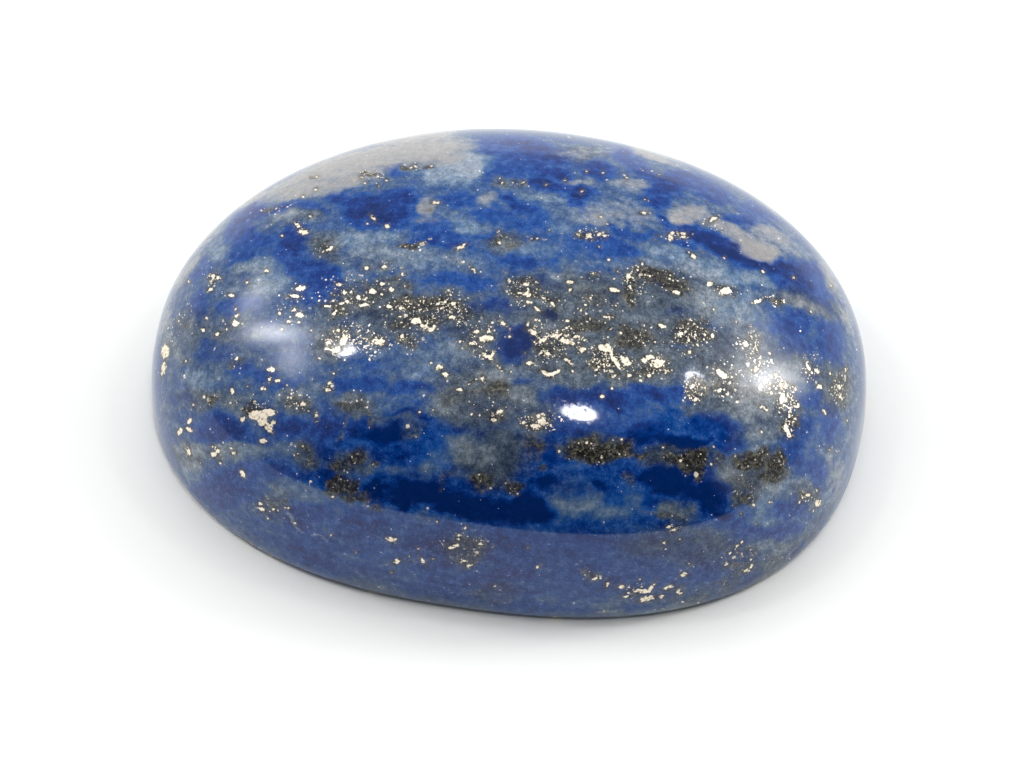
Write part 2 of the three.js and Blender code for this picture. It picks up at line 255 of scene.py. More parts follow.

# Clouds of pyrite dust in grey diopside; their dark olive is partly painted shade, which
# stands for the dark that their pyrite mirrors
DUST_CLOUDS = [
    (-5.7, -3.9, 0.6, 0.3, 0, 0.9), (2.2, -3.6, 0.4, 0.2, 0, 0.9),
    (8.3, -4.9, 0.45, 0.4, 0, 0.7), (9.2, -4.3, 0.5, 0.3, 0, 1), (-4.9, 6.15, 0.45, 0.1, -5, 1),
    (-3.4, 6.55, 0.3, 0.1, -5, 1), (-2.7, 6.5, 0.2, 0.1, 0, 0.9),
    (-6.7, 6.2, 0.3, 0.05, 0, 0.8), (-8.3, 5.1, 0.4, 0.14, 10, 0.8),
    (-3.2, 3.8, 0.45, 0.12, -5, 0.9), (-6.4, 3.6, 0.35, 0.3, 0, 0.7),
    (-6.5, 4, 0.5, 0.14, 0, 0.6), (-5, 2.2, 1.2, 0.5, 0, 0.7), (-5.9, 1.6, 0.5, 0.35, 0, 0.8),
    (-3.8, 2.5, 0.8, 0.3, 0, 0.7), (-2.7, 1.7, 1.4, 0.35, 0, 1), (-3.3, 1.1, 1, 0.3, 0, 0.9),
    (-3.6, 0.4, 0.4, 0.4, 0, 0.7), (-1.4, 1.3, 0.5, 0.25, 20, 0.8),
    (-1.7, -1.5, 0.8, 0.35, 0, 0.8), (-0.5, -1.3, 0.6, 0.5, 0, 0.8),
    (-1.2, 0.3, 0.4, 0.4, 0, 0.8), (1.5, 0.3, 0.8, 0.5, 0, 0.9), (2.7, 0.9, 1.1, 0.4, 0, 0.9),
    (3.4, -0.3, 0.8, 0.4, 0, 0.9), (4.6, 0.6, 0.9, 0.5, 0, 0.9), (5.3, 2.6, 1.3, 0.4, -10, 1),
    (4.2, 2.2, 0.4, 0.6, 20, 0.9), (6.4, 0.7, 0.8, 0.5, 0, 1), (5.1, -0.5, 0.7, 0.3, 0, 0.9),
    (0.6, 2.3, 0.7, 0.35, 0, 0.9), (-0.1, 2.8, 0.6, 0.2, -20, 0.6),
    (1.6, 1.9, 0.5, 0.25, 0, 0.8), (2.9, 2.8, 0.35, 0.2, 0, 0.8), (2.9, 1.9, 0.7, 0.5, 0, 0.6),
    (-0.3, 4.1, 0.4, 0.25, 0, 0.75), (0.1, 3.8, 0.3, 0.2, 0, 0.5), (-2.7, 5, 0.3, 0.16, 0, 0.6),
    (0.9, 4, 0.4, 0.1, 0, 0.6), (2.9, 4.1, 0.6, 0.16, 0, 0.8), (7.5, 2.3, 0.5, 0.25, 0, 0.8),
    (6.6, 3.5, 0.4, 0.2, -20, 0.6), (7.3, 4.75, 0.3, 0.15, 0, 0.6),
    (9.4, 1.8, 0.5, 0.14, 0, 0.8), (11.6, -1.2, 0.3, 0.6, 0, 0.9),
    (10.6, -0.6, 0.35, 0.35, 0, 0.8), (9.6, -1.3, 0.6, 0.5, 0, 0.9),
    (9.8, -2.4, 0.4, 0.45, 0, 0.9), (8.4, 0.2, 0.5, 0.5, 0, 0.6), (7.6, -1, 0.6, 0.5, 0, 0.8),
    (6.6, -1.3, 0.5, 0.5, 0, 0.9), (5.2, 4, 0.5, 0.1, 0, 0.4), (-8.8, -1.8, 0.6, 0.2, 0, 1),
    (-10.4, -1.6, 0.4, 0.16, 0, 0.8), (-9.4, -0.3, 0.35, 0.25, 0, 0.7),
    (-7.3, -1.7, 0.5, 0.25, 0, 0.8), (-10.3, 2.6, 0.2, 0.35, 10, 0.8),
    (-5.6, -1.9, 0.8, 0.3, 0, 0.8), (-5.8, -2.7, 0.2, 0.5, 0, 0.7),
    (-4.8, -2.3, 0.2, 0.5, 20, 0.6), (-6.95, -3.6, 0.25, 0.35, 0, 0.9),
    (-5.3, -3.6, 0.4, 0.3, 0, 1), (-4.6, -3.8, 0.2, 0.2, 0, 0.9),
    (-5.8, -4.6, 0.6, 0.35, 0, 1.3), (-5.3, -5, 0.5, 0.25, 0, 0.9),
    (-4.6, -5.35, 0.35, 0.16, 0, 0.8), (-3.4, -2.7, 0.6, 0.3, 0, 0.6),
    (-0.9, -4.4, 0.5, 0.35, 0, 0.9), (0.2, -4.7, 0.4, 0.35, 0, 1),
    (-2.2, -4.4, 0.5, 0.3, 40, 0.6), (1, -3.2, 0.5, 0.4, 0, 0.7), (1.2, -4, 0.4, 0.16, 0, 0.7),
    (1, -2.4, 0.6, 0.25, 0, 0.8), (-0.5, -2.2, 0.5, 0.25, 0, 0.8),
    (2.9, -3.4, 0.9, 0.4, 0, 1.3), (3.9, -3.3, 0.5, 0.45, 0, 1), (4.6, -3.5, 0.4, 0.16, 0, 0.9),
    (4.2, -4.4, 0.3, 0.35, 0, 0.8), (5.9, -3.7, 0.4, 0.25, 0, 1.1),
    (6.5, -3.7, 0.6, 0.5, 0, 1.3), (6.7, -4.1, 0.4, 0.2, 0, 1), (7.4, -3.7, 0.3, 0.2, 0, 0.8),
    (8.5, -3.7, 0.55, 0.35, 0, 1.2), (9.4, -3.9, 0.45, 0.35, 0, 1.2),
    (8.1, -4.6, 0.4, 0.5, 0, 0.6), (8.3, -5.15, 0.5, 0.16, 0, 1), (5.6, -5.6, 0.6, 0.2, 0, 0.7),
    (5.7, -6.05, 0.3, 0.15, 0, 0.8), (10.5, -4.9, 0.5, 0.18, 0, 0.9),
    (-10.2, -3.5, 0.3, 0.3, 0, 0.7), (-8.3, -5.3, 0.6, 0.35, 0, 0.6),
    (-1.4, -6.8, 0.8, 0.5, 0, 0.6), (-3.7, -7.3, 0.6, 0.2, 0, 0.6),
    (5.3, -6.7, 0.4, 0.16, 0, 0.6), (2.9, -7.6, 0.5, 0.16, 0, 0.8),
    (8.2, -7.1, 0.6, 0.5, 0, 0.7), (4.7, -8.3, 0.7, 0.25, 0, 0.8),
    (5.8, -8.2, 0.3, 0.15, 0, 0.6), (-0.4, -8.6, 0.3, 0.1, 0, 0.5),
    (0.9, -7.4, 0.3, 0.14, 0, 0.5),
]

# Swarms of small pyrite grains
GRAIN_SWARMS = [
    (-4.9, 6.15, 0.6, 0.2, 0, 0.7), (-3.1, 6.55, 0.6, 0.16, 0, 0.6),
    (-7.2, 4.35, 0.35, 0.25, 0, 0.7), (-8.3, 5, 0.6, 0.2, 10, 0.5),
    (-3.1, 3.8, 0.45, 0.2, 0, 0.6), (-6.4, 3.6, 0.5, 0.35, 0, 0.5),
    (-5.3, 2.2, 1.3, 0.7, 0, 0.6), (-5.9, 1.6, 0.5, 0.45, 0, 0.7),
    (-7.5, 1.8, 0.6, 0.6, 0, 0.6), (-4.1, 2.8, 0.8, 0.4, 0, 0.5), (-2.7, 1.6, 1.5, 0.5, 0, 0.9),
    (-3.3, 1, 1, 0.4, 0, 0.7), (-3.6, 0.4, 0.45, 0.5, 0, 0.7), (-1.4, 1.3, 0.5, 0.3, 20, 0.9),
    (-5.2, 0.5, 1.2, 0.45, -5, 1.1), (-6.1, 0.4, 0.4, 0.4, 0, 1), (-4.5, 0.4, 0.4, 0.35, 0, 1),
    (-9.5, 1.1, 0.3, 0.3, 0, 0.6), (-10.3, 2.6, 0.35, 0.5, 20, 0.6),
    (-11.5, 1, 0.4, 0.8, -20, 0.4), (-8.8, -1.7, 0.7, 0.25, 0, 0.7),
    (-7.3, -1.6, 0.5, 0.35, 0, 0.8), (-6.2, -1.2, 0.25, 0.3, 0, 0.6),
    (-10.4, -1.6, 0.5, 0.3, 0, 0.5), (-9.4, -0.3, 0.35, 0.3, 0, 0.4),
    (-5.3, -1.7, 0.7, 0.3, 0, 0.5), (-1, 0.3, 0.5, 0.6, 0, 0.8),
    (-0.5, 0.9, 0.6, 0.35, 20, 0.7), (-0.4, -2.1, 0.5, 0.35, 0, 0.7),
    (1.1, -2.3, 0.6, 0.35, 0, 1), (0.6, 2.2, 0.6, 0.45, 0, 0.7), (1.6, 1.8, 0.6, 0.4, 0, 0.5),
    (1.6, 0.3, 0.7, 0.7, 0, 0.9), (0.9, 0.9, 0.3, 0.3, 0, 1), (2.3, 0.4, 0.7, 0.35, -20, 0.8),
    (2.8, 1.5, 0.5, 0.5, 0, 0.6), (3.4, -0.2, 0.7, 0.6, 0, 1.1), (3.6, 1.3, 0.5, 0.5, 0, 0.5),
    (4.3, -0.5, 0.5, 0.5, 0, 0.9), (5.2, -0.4, 0.6, 0.45, 0, 1), (4.4, 2.6, 0.6, 0.6, 0, 0.8),
    (5.4, 2.5, 0.8, 0.5, 0, 0.5), (5.1, 0.6, 0.6, 0.5, 0, 0.5), (6.4, 0.6, 0.7, 0.6, 0, 0.9),
    (6.5, -1.3, 0.5, 0.5, 0, 1.1), (7.6, -0.6, 0.6, 0.5, 0, 0.8), (7.7, -1.3, 0.5, 0.5, 0, 0.7),
    (8.3, 0.3, 0.5, 0.5, 0, 0.9), (8.7, -0.4, 0.5, 0.5, 0, 1), (9.2, -1, 0.7, 0.35, -10, 1.2),
    (9.7, -1.5, 0.4, 0.6, 0, 1.2), (9.8, -2.4, 0.3, 0.5, 0, 1), (10.6, -0.5, 0.4, 0.4, 0, 0.8),
    (11.6, -1.2, 0.3, 0.6, 0, 0.8), (7.5, 2.2, 0.5, 0.3, 0, 0.7), (9.4, 1.8, 0.5, 0.2, 0, 0.6),
    (2.9, 4.1, 0.5, 0.25, 0, 0.7), (5.9, 4.1, 0.5, 0.25, 0, 0.8), (7.3, 4.6, 0.4, 0.35, 0, 0.5),
    (-0.3, 4.1, 0.35, 0.25, 0, 0.6), (0.4, 5.9, 0.4, 0.14, 0, 0.6), (1, 4, 0.4, 0.1, 0, 0.7),
    (2.9, 2.8, 0.35, 0.2, 0, 0.7), (-5.3, -3.6, 0.4, 0.3, 0, 0.15),
    (-5.8, -4.6, 0.6, 0.3, 0, 0.1), (-4.7, -5.3, 0.4, 0.2, 0, 0.35),
    (-3.3, -2.9, 0.6, 0.3, 0, 0.2), (0.2, -4.7, 0.4, 0.35, 0, 0.35),
    (2.9, -3.4, 1, 0.4, 0, 0.3), (3.9, -3.3, 0.5, 0.4, 0, 0.25), (4.3, -4.4, 0.3, 0.4, 0, 0.2),
    (6.1, -3.7, 0.6, 0.3, 0, 0.3), (6.8, -3.6, 0.5, 0.4, 0, 0.25),
    (8.5, -3.7, 0.6, 0.4, 0, 0.3), (9.4, -3.9, 0.5, 0.4, 0, 0.35),
    (8.4, -4.8, 0.5, 0.5, 0, 0.4), (10.5, -4.9, 0.5, 0.3, 0, 0.5),
    (-7.5, -3.3, 0.5, 0.3, 0, 0.5), (-10.2, -3.5, 0.4, 0.35, 0, 0.5),
    (-8.4, -5.3, 0.6, 0.35, 0, 0.4), (-1.6, -6.7, 0.8, 0.6, 0, 0.35),
    (-1.4, -7.3, 0.4, 0.25, 0, 0.6), (8.1, -7.2, 0.6, 0.6, 0, 0.4),
    (4.6, -8.3, 0.8, 0.35, 0, 0.3), (3, -7.7, 0.6, 0.25, 0, 0.4), (5.8, -6.1, 0.3, 0.2, 0, 0.6),
    (11.2, -3.3, 0.4, 0.3, 0, 0.4),
]

# Fine scratches in the polish, and last a painted glint on the lower edge
SCRATCHES_AND_GLINT = [
    (-7.5, -5.66, 0.25, 0.06, -60, 1), (-7.2, -6.02, 0.3, 0.06, -43, 1),
    (-6.65, -6.33, 0.45, 0.06, -19, 1), (-10.9, -4.33, 0.5, 0.05, 18, 0.8),
    # The last mark here is a painted glint on the lower edge, not a scratch
    (-8.6, -3.72, 0.45, 0.05, 11, 0.7), (3.3, -9.1, 0.6, 0.08, 2, 1.3),
]

# The single pyrite grains that are large enough to know by their shape
LARGE_GRAINS = [
    (5.25, -0.33, 0.24, 0.1, 15), (4.75, -0.22, 0.12, 0.08), (5.55, -0.6, 0.12, 0.07, 30),
    (-8.78, -2.1, 0.24, 0.16), (-8.35, -2.03, 0.26, 0.13, 5), (-8.52, -2.35, 0.17, 0.2),
    (-8.38, -2.6, 0.22, 0.1, -50), (-8.17, -2.45, 0.1, 0.08), (-9.25, -2.3, 0.1, 0.08, 60),
    (-8.55, -3.02, 0.12, 0.08), (-8.25, -0.56, 0.13, 0.08), (-8.28, -0.88, 0.11, 0.06, 80),
    (-8, -0.93, 0.09, 0.06), (-8.5, -1.2, 0.08, 0.07), (-9.6, -1.3, 0.1, 0.06, 90),
    (-7.1, -1.75, 0.1, 0.06), (-6.25, -1.3, 0.12, 0.06), (-6.2, -1.05, 0.08, 0.06, 60),
    (-6.7, -2.2, 0.12, 0.06, 80), (-11.45, -2.75, 0.12, 0.08, 60), (-11.1, -2.4, 0.1, 0.06, 60),
    (-11.1, -2.65, 0.13, 0.07, -30), (-11.15, -3.35, 0.18, 0.06, -70),
    (-10.3, -3.52, 0.1, 0.08), (-10.1, -3.4, 0.1, 0.06, 70), (-9.55, -3.5, 0.08, 0.06),
    (-9.22, -4.18, 0.13, 0.07, -60), (-8.55, -5.45, 0.12, 0.06, -40),
    (-11.98, 0.1, 0.25, 0.13, 85), (-12.02, -0.45, 0.22, 0.07, 80), (-9.5, 1.03, 0.13, 0.1),
    (-9.45, 1.33, 0.09, 0.05, 50), (-10.1, 0.68, 0.12, 0.05, 30), (-10.6, 0.85, 0.07, 0.06),
    (-9.62, 2.04, 0.1, 0.06), (-10.35, 2.28, 0.09, 0.07), (-10.28, 2.68, 0.1, 0.08, 70),
    (-7.27, 2.3, 0.16, 0.09, 10), (-7.45, 2.03, 0.15, 0.06), (-7.28, 1.36, 0.13, 0.09),
    (-7.6, 1.15, 0.08, 0.06), (-7.15, 4.28, 0.15, 0.09, -10), (-7.35, 4.5, 0.12, 0.06, -40),
    (-6.32, 3.62, 0.14, 0.05, 20), (-4.7, 4.72, 0.1, 0.05, -50), (-4.25, 4.47, 0.08, 0.06),
    (-4.92, 3, 0.08, 0.06), (-4.25, 3.03, 0.09, 0.07, 40), (-4.38, 2.45, 0.1, 0.06, 30),
    (-4.66, 2.18, 0.14, 0.09, -10), (-4.95, 1.72, 0.14, 0.06, 10), (-4.05, 2.24, 0.1, 0.08),
    (-4.15, 1.63, 0.1, 0.06), (-5.65, 2.15, 0.1, 0.06), (-5.6, 1.85, 0.12, 0.05, 30),
    (-6.1, 1.4, 0.12, 0.06, 60), (-6.25, 1.67, 0.13, 0.04), (-5.85, 2.43, 0.1, 0.06),
    (-5.75, 0.42, 0.22, 0.12, 70), (-5.95, 0.15, 0.18, 0.1), (-6.25, 0.35, 0.16, 0.06, 80),
    (-4.5, 0.42, 0.2, 0.1, -20), (-5.9, 0.78, 0.1, 0.06), (-3.2, 1.13, 0.16, 0.11),
    (-2.9, 0.95, 0.16, 0.07, -15), (-2.65, 0.87, 0.14, 0.06, 10), (-2.45, 1.7, 0.1, 0.06, 80),
    (-1.95, 1.23, 0.11, 0.07), (-1.88, 1.75, 0.09, 0.06), (-3.7, 0.6, 0.1, 0.06),
    (-1.12, 0.74, 0.11, 0.07), (-0.78, 0.57, 0.24, 0.11, 10), (-0.65, 0.8, 0.1, 0.06, 80),
    (-1.2, 0.35, 0.14, 0.06, -20), (-0.7, -0.1, 0.2, 0.07, -40), (-0.5, -0.02, 0.12, 0.05, 60),
    (-0.15, 1.02, 0.14, 0.05, -40), (-0.28, -0.55, 0.13, 0.05, -40), (-2.42, -0.52, 0.12, 0.09),
    (-2.17, -0.75, 0.13, 0.08, -30), (-0.87, -0.83, 0.16, 0.06, -70), (-1.72, -1.23, 0.1, 0.06),
    (-0.52, -2.27, 0.12, 0.07, -10), (-0.35, -2.05, 0.16, 0.04, 10), (1.2, -2.4, 0.14, 0.14),
    (0.95, -2.55, 0.2, 0.07, -10), (1.1, -2.15, 0.1, 0.05), (0.78, -0.33, 0.14, 0.06, 10),
    (2.1, -0.22, 0.16, 0.06, -45), (1.35, -0.7, 0.24, 0.07, -30), (1.68, -0.68, 0.22, 0.06, 30),
    (1.3, 0, 0.22, 0.06, -20), (1.25, 0.5, 0.2, 0.06, 40), (0.9, 0.75, 0.2, 0.07, -30),
    (0.7, 1, 0.12, 0.04, 60), (1.7, 0.6, 0.2, 0.06, 20), (2.1, 0.38, 0.28, 0.08, -20),
    (2.4, 0.57, 0.16, 0.06, -10), (2.57, 0.12, 0.13, 0.09), (3.35, 0.22, 0.24, 0.12),
    (3.6, 0.05, 0.28, 0.06, -70), (3.8, -0.35, 0.24, 0.06, -60), (3.7, -0.78, 0.12, 0.06, 10),
    (0.7, 2.02, 0.14, 0.09), (0.65, 2.45, 0.12, 0.06, 20), (0.4, 2.12, 0.09, 0.05),
    (1.3, 1.92, 0.14, 0.05, -20), (1.6, 1.7, 0.14, 0.05, -60), (1.05, 1.52, 0.12, 0.05, -30),
    (2.15, 2.5, 0.12, 0.07), (2.18, 2.22, 0.08, 0.06, 80), (2.08, 1.17, 0.09, 0.06),
    (3.78, 2.2, 0.18, 0.07, -15), (3.5, 1.3, 0.17, 0.05), (3.6, 0.85, 0.1, 0.05, 20),
    (4.15, -0.3, 0.24, 0.12, -30), (4.3, -0.8, 0.12, 0.06), (4.9, -0.15, 0.2, 0.07, 5),
    (5.3, -0.35, 0.2, 0.08, 40), (4.95, -0.75, 0.16, 0.05, 30), (4.2, 2.7, 0.16, 0.08, 70),
    (4.25, 2.3, 0.2, 0.04, -60), (5.85, 2.15, 0.16, 0.06, -20), (5.42, 0.97, 0.14, 0.08),
    (6.05, 0.68, 0.18, 0.05, 20), (6.35, 0.02, 0.14, 0.06, 20), (7.18, 0.62, 0.09, 0.06, -60),
    (7.1, 2.45, 0.12, 0.08), (7.6, 2.18, 0.2, 0.12, 20), (8.75, 1.82, 0.18, 0.06, 20),
    (6.45, 3.4, 0.12, 0.07, -40), (6.07, 4.2, 0.12, 0.05), (6.1, 4.08, 0.1, 0.05),
    (5.72, 4.05, 0.12, 0.09, 60), (5.75, 4.22, 0.1, 0.05, 20), (4.72, 4.92, 0.12, 0.05),
    (7.2, 4.7, 0.13, 0.06, 30), (2.8, 4.1, 0.14, 0.1, -40), (3.2, 4.2, 0.1, 0.06),
    (2.48, 4.2, 0.07, 0.06), (-1.63, 3.72, 0.2, 0.07, 25), (-1.2, 2.93, 0.14, 0.05, -45),
    (-2.5, 5.27, 0.13, 0.05), (-0.32, 3.87, 0.08, 0.06), (0.05, 2.52, 0.09, 0.06, -60),
    (8.3, 0.38, 0.11, 0.09), (8.65, 0.15, 0.2, 0.05, -80), (8.6, -0.5, 0.16, 0.09, 30),
    (7.45, -0.72, 0.24, 0.1, -40), (7.4, -1.3, 0.14, 0.05, 10), (8.95, -1.87, 0.14, 0.05, -30),
    (9.2, -1.4, 0.12, 0.05, 20), (9.6, -1.1, 0.2, 0.1), (9.6, -1.6, 0.2, 0.1, 70),
    (9.85, -2.2, 0.09, 0.07), (9.7, -2.62, 0.16, 0.09, -70), (9.85, -2.85, 0.12, 0.06, -20),
    (10.1, -1.83, 0.1, 0.05, -60), (10.78, -0.6, 0.12, 0.06, -50),
    (10.85, -1.1, 0.12, 0.08, -10), (10.5, -0.45, 0.18, 0.05, -60),
    (11.03, -2.03, 0.1, 0.06, -50), (11.55, -1.2, 0.12, 0.08), (11.8, -0.6, 0.09, 0.06, 60),
    (11.65, -1.5, 0.1, 0.05, -60), (6.6, -1.65, 0.1, 0.05), (6.5, -1.15, 0.12, 0.06, 60),
    (-4.12, -6.5, 0.16, 0.08, -10), (-3.88, -7.25, 0.13, 0.08, 30),
    (-3.05, -7.2, 0.14, 0.05, -50), (-1.95, -6.77, 0.12, 0.06, -30),
    (-1.72, -6.68, 0.08, 0.05, -30), (-1.62, -6.47, 0.07, 0.05),
    (-1.02, -6.67, 0.12, 0.05, -40), (-1.4, -7.4, 0.14, 0.05, 30), (-1.6, -7.22, 0.12, 0.05),
    (3.05, -7.85, 0.1, 0.06, 30), (3.45, -8.02, 0.1, 0.05, 80), (4.05, -8.1, 0.12, 0.05, 10),
    (4.1, -8.45, 0.12, 0.05), (4.65, -8.27, 0.32, 0.07, -3), (5, -8.2, 0.16, 0.05, 50),
    (4.85, -8.58, 0.3, 0.08, 15), (5.35, -8.5, 0.1, 0.05, 20), (5.65, -8.12, 0.16, 0.06, 25),
    (5.95, -8.27, 0.12, 0.05, 50), (6.17, -7.67, 0.12, 0.06, 20), (8.35, -7.57, 0.16, 0.05, 10),
    (8.5, -7.42, 0.1, 0.05, 60), (7.58, -7.38, 0.09, 0.05, 40), (7.98, -6.75, 0.09, 0.05, 40),
    (10.85, -5.17, 0.14, 0.1, 60), (10.5, -4.95, 0.1, 0.05), (5.6, -6.03, 0.1, 0.05),
    (5.75, -6.15, 0.14, 0.04, 20), (5.42, -6.63, 0.06, 0.05),
]

# Smaller grains, as across, up and radius
SMALL_GRAINS = [
    (-6.68, 6.19, 0.05), (-5.09, 6.21, 0.05), (-4.97, 5.94, 0.05), (-4.52, 5.86, 0.05),
    (-4.22, 6.06, 0.05), (-7.12, 5.49, 0.05), (-6.71, 5.74, 0.05), (-6.88, 4.8, 0.06),
    (-4.92, 4.55, 0.04), (-7.85, 4.12, 0.05), (-8.38, 2.88, 0.08), (-9.14, 2.53, 0.07),
    (-10, 2.65, 0.04), (-11.15, 2.54, 0.05), (2.75, 6.39, 0.05), (3.33, 6.31, 0.04),
    (1.99, 6.09, 0.06), (2.61, 5.68, 0.06), (1.32, 5.91, 0.04), (-0.16, 5.99, 0.05),
    (-0.29, 6.13, 0.04), (0.55, 5.97, 0.05), (-3.25, 6.57, 0.06), (-3.4, 6.52, 0.05),
    (-2.66, 6.55, 0.05), (3.25, 4.79, 0.05), (3.51, 4.55, 0.05), (3.39, 4.12, 0.07),
    (1.44, 4.3, 0.03), (0.87, 4.01, 0.06), (1.02, 4.01, 0.04), (-0.29, 4.27, 0.04),
    (3.5, 3.28, 0.06), (3.2, 3.74, 0.04), (1.05, 2.48, 0.05), (-3.71, 2.77, 0.05),
    (3.86, 2.87, 0.05), (4.8, 5.36, 0.05), (4.12, 6.17, 0.05), (5.28, 6.27, 0.05),
    (4.99, 6.39, 0.03), (5.18, 4.12, 0.04), (6.36, 3.57, 0.06), (7.55, 3.35, 0.05),
    (4.65, 3.14, 0.06), (8.94, 2.88, 0.08), (9.96, 2.7, 0.05), (4.94, 2.72, 0.05),
    (4.83, 2.5, 0.04), (11.3, 2.37, 0.04), (7.26, 4.77, 0.05), (6.86, 4.55, 0.04),
    (-9.5, 1.58, 0.06), (-10.48, 1.29, 0.05), (-11.22, 0.97, 0.04), (-11.49, 1.17, 0.03),
    (-9.83, 0.85, 0.04), (-11.23, -0.24, 0.05), (-7.27, 1.1, 0.05), (-7.9, 0.86, 0.05),
    (-7.99, 1.4, 0.07), (-7.43, 1.52, 0.08), (-6.85, 0.82, 0.04), (-6.09, 2.04, 0.04),
    (-5.82, 1.71, 0.04), (-4.41, 2.05, 0.06), (-6.31, 0.15, 0.07), (-6.56, -0.19, 0.05),
    (-6.06, -0.71, 0.05), (-9.11, -1.13, 0.04), (-7.75, -1.13, 0.03), (-10.57, -1.5, 0.06),
    (-10.97, -1.79, 0.05), (-9.67, -1.67, 0.04), (-6.94, -1.99, 0.05), (-6.63, -2.38, 0.04),
    (-3.53, 1.98, 0.05), (-3.75, 1.3, 0.05), (-2.16, 1.85, 0.06), (-1.97, 2.05, 0.04),
    (-2.56, 1.24, 0.05), (-4.33, 0.44, 0.09), (-1.67, 0.46, 0.06), (0.07, 0.61, 0.05),
    (0.6, 0.06, 0.05), (0.14, -0.64, 0.04), (-2.67, -0.3, 0.05), (-1.1, -0.94, 0.04),
    (-1.33, -1.06, 0.06), (-1.25, -1.81, 0.04), (-1.22, -2.14, 0.05), (-1, -2.17, 0.04),
    (-3.11, -2.03, 0.06), (-2.57, -2.01, 0.04), (-0.26, -1.97, 0.05), (0.59, -2.4, 0.05),
    (0.7, 1.77, 0.08), (0.74, 2.23, 0.06), (0.99, 1.22, 0.05), (2.94, 1.92, 0.06),
    (2.7, 1.71, 0.06), (2.58, 1.49, 0.05), (3.83, 1.65, 0.05), (2.27, -0.6, 0.05),
    (3.92, 0.74, 0.06), (2.77, 1.12, 0.06), (3.3, -1.5, 0.08), (3.62, -1.17, 0.04),
    (7.92, 2.02, 0.05), (7.22, 1.6, 0.05), (9.35, 1.74, 0.04), (9.54, 1.87, 0.03),
    (10.61, 1.47, 0.04), (4.6, 0.94, 0.04), (7.96, 1.12, 0.04), (6.58, 0.65, 0.08),
    (6.36, 0.43, 0.06), (6.58, 0.31, 0.06), (5.08, 0.4, 0.06), (5.4, 0.43, 0.04),
    (5.24, -0.41, 0.1), (4.68, -0.97, 0.06), (8.51, 0.6, 0.05), (9.12, 0.06, 0.05),
    (7.51, -0.75, 0.13), (7.79, -1, 0.08), (6.67, -1.66, 0.04), (8.01, -1.69, 0.06),
    (10.04, -1.22, 0.08), (9.38, -0.75, 0.1), (11.76, -1.78, 0.04), (11.78, -0.94, 0.05),
    (9.48, -2.11, 0.05), (10.07, -2.28, 0.06), (11.83, -2.35, 0.05), (8.85, -2.72, 0.05),
    (11.25, -0.71, 0.05), (-10.31, -3.18, 0.05), (-10.01, -3.83, 0.06), (-9.62, -3.31, 0.04),
    (-10.71, -3.78, 0.03), (-7.15, -3.24, 0.04), (-7.32, -3.52, 0.04), (-5.46, -3.62, 0.04),
    (-5.33, -3.82, 0.05), (-4.69, -3.87, 0.04), (-6.15, -4.98, 0.08), (-8.61, -5.24, 0.07),
    (-8.21, -5.39, 0.05), (-7.76, -5.16, 0.05), (-7.75, -5.38, 0.04), (-7.63, -5.41, 0.04),
    (-8.39, -5.72, 0.03), (-7.47, -5.91, 0.05), (-6.18, -6.31, 0.04), (-5.23, -6.92, 0.03),
    (-3.99, -7.62, 0.05), (-3.42, -7.11, 0.04), (-2.64, -7.17, 0.04), (-3.09, -6.78, 0.04),
    (-2.49, -5.83, 0.04), (-1.56, -6.08, 0.05), (-1.72, -6.31, 0.04), (-0.38, -8.12, 0.04),
    (0.72, -6.74, 0.03), (0.96, -7.47, 0.05), (3.33, -9, 0.06), (-0.04, -4.55, 0.04),
    (0.3, -4.9, 0.04), (2.72, -3.14, 0.05), (2.19, -3.68, 0.04), (3.21, -3.8, 0.04),
    (1.77, -3.45, 0.04), (6.05, -3.74, 0.06), (7.08, -3.85, 0.05), (5.4, -3.27, 0.04),
    (10.32, -4.98, 0.07), (10.21, -5.19, 0.04), (10.67, -5.47, 0.04), (10.82, -4.76, 0.06),
    (11.22, -3.31, 0.04), (8.62, -5.28, 0.05), (8.11, -5.58, 0.05), (8.73, -5.93, 0.03),
    (9.15, -5.19, 0.04), (5.99, -6.47, 0.03), (7.78, -6.95, 0.05), (8.16, -6.99, 0.04),
    (8.17, -6.55, 0.04), (7.56, -7.98, 0.05), (6.36, -7.34, 0.03), (3.99, -8.07, 0.05),
    (4.57, -7.92, 0.05), (6.13, -8.35, 0.04),
]

# A small grain's share of its glint, which looks wider than the grain is
GLINT_SHARE = 0.8
GRAINS = LARGE_GRAINS + [
    (across, up, GLINT_SHARE * radius, GLINT_SHARE * radius) for across, up, radius in SMALL_GRAINS
]

# Each kind of marking, and how many more of its kind there are out of the view's sight
MARKINGS = {
    "deep": (DEEP_STREAKS, 150),
    "pale": (PALE_STREAKS, 80),
    "haze": (HAZE_CLOUDS, 40),
    "calcite": (CALCITE_PATCHES, 26),
    "dust": (DUST_CLOUDS, 90),
    "swarm": (GRAIN_SWARMS, 70),
    "scratch": (SCRATCHES_AND_GLINT, 6),
    "grain": (GRAINS, 260),
}
HIDDEN_SEED = 7
HIDDEN_TURN = 12  # how far a hidden marking may turn from the way of its kind, in degrees

# How far outside its edge a grain is still felt, for the dark rock and the painted shadow
# round it
GRAIN_REACH_MM = 0.3
# How much longer than on the view a marking may get where the stone turns away
MOST_STRETCH = 3.5
# How far the edges of the markings wander, and the size of the swirls that they follow
WANDERINGS = ((0.3 * MM, 1.2 * MM), (0.22 * MM, 0.4 * MM))


def view_axes(azimuth, elevation):
    """The directions right, up and back of a view from that side, given in degrees."""
    a, e = math.radians(azimuth), math.radians(elevation)
    right = Vector((math.cos(a), math.sin(a), 0))
    back = Vector((math.sin(a) * math.cos(e), -math.cos(a) * math.cos(e), math.sin(e)))
    return right, back.cross(right), back


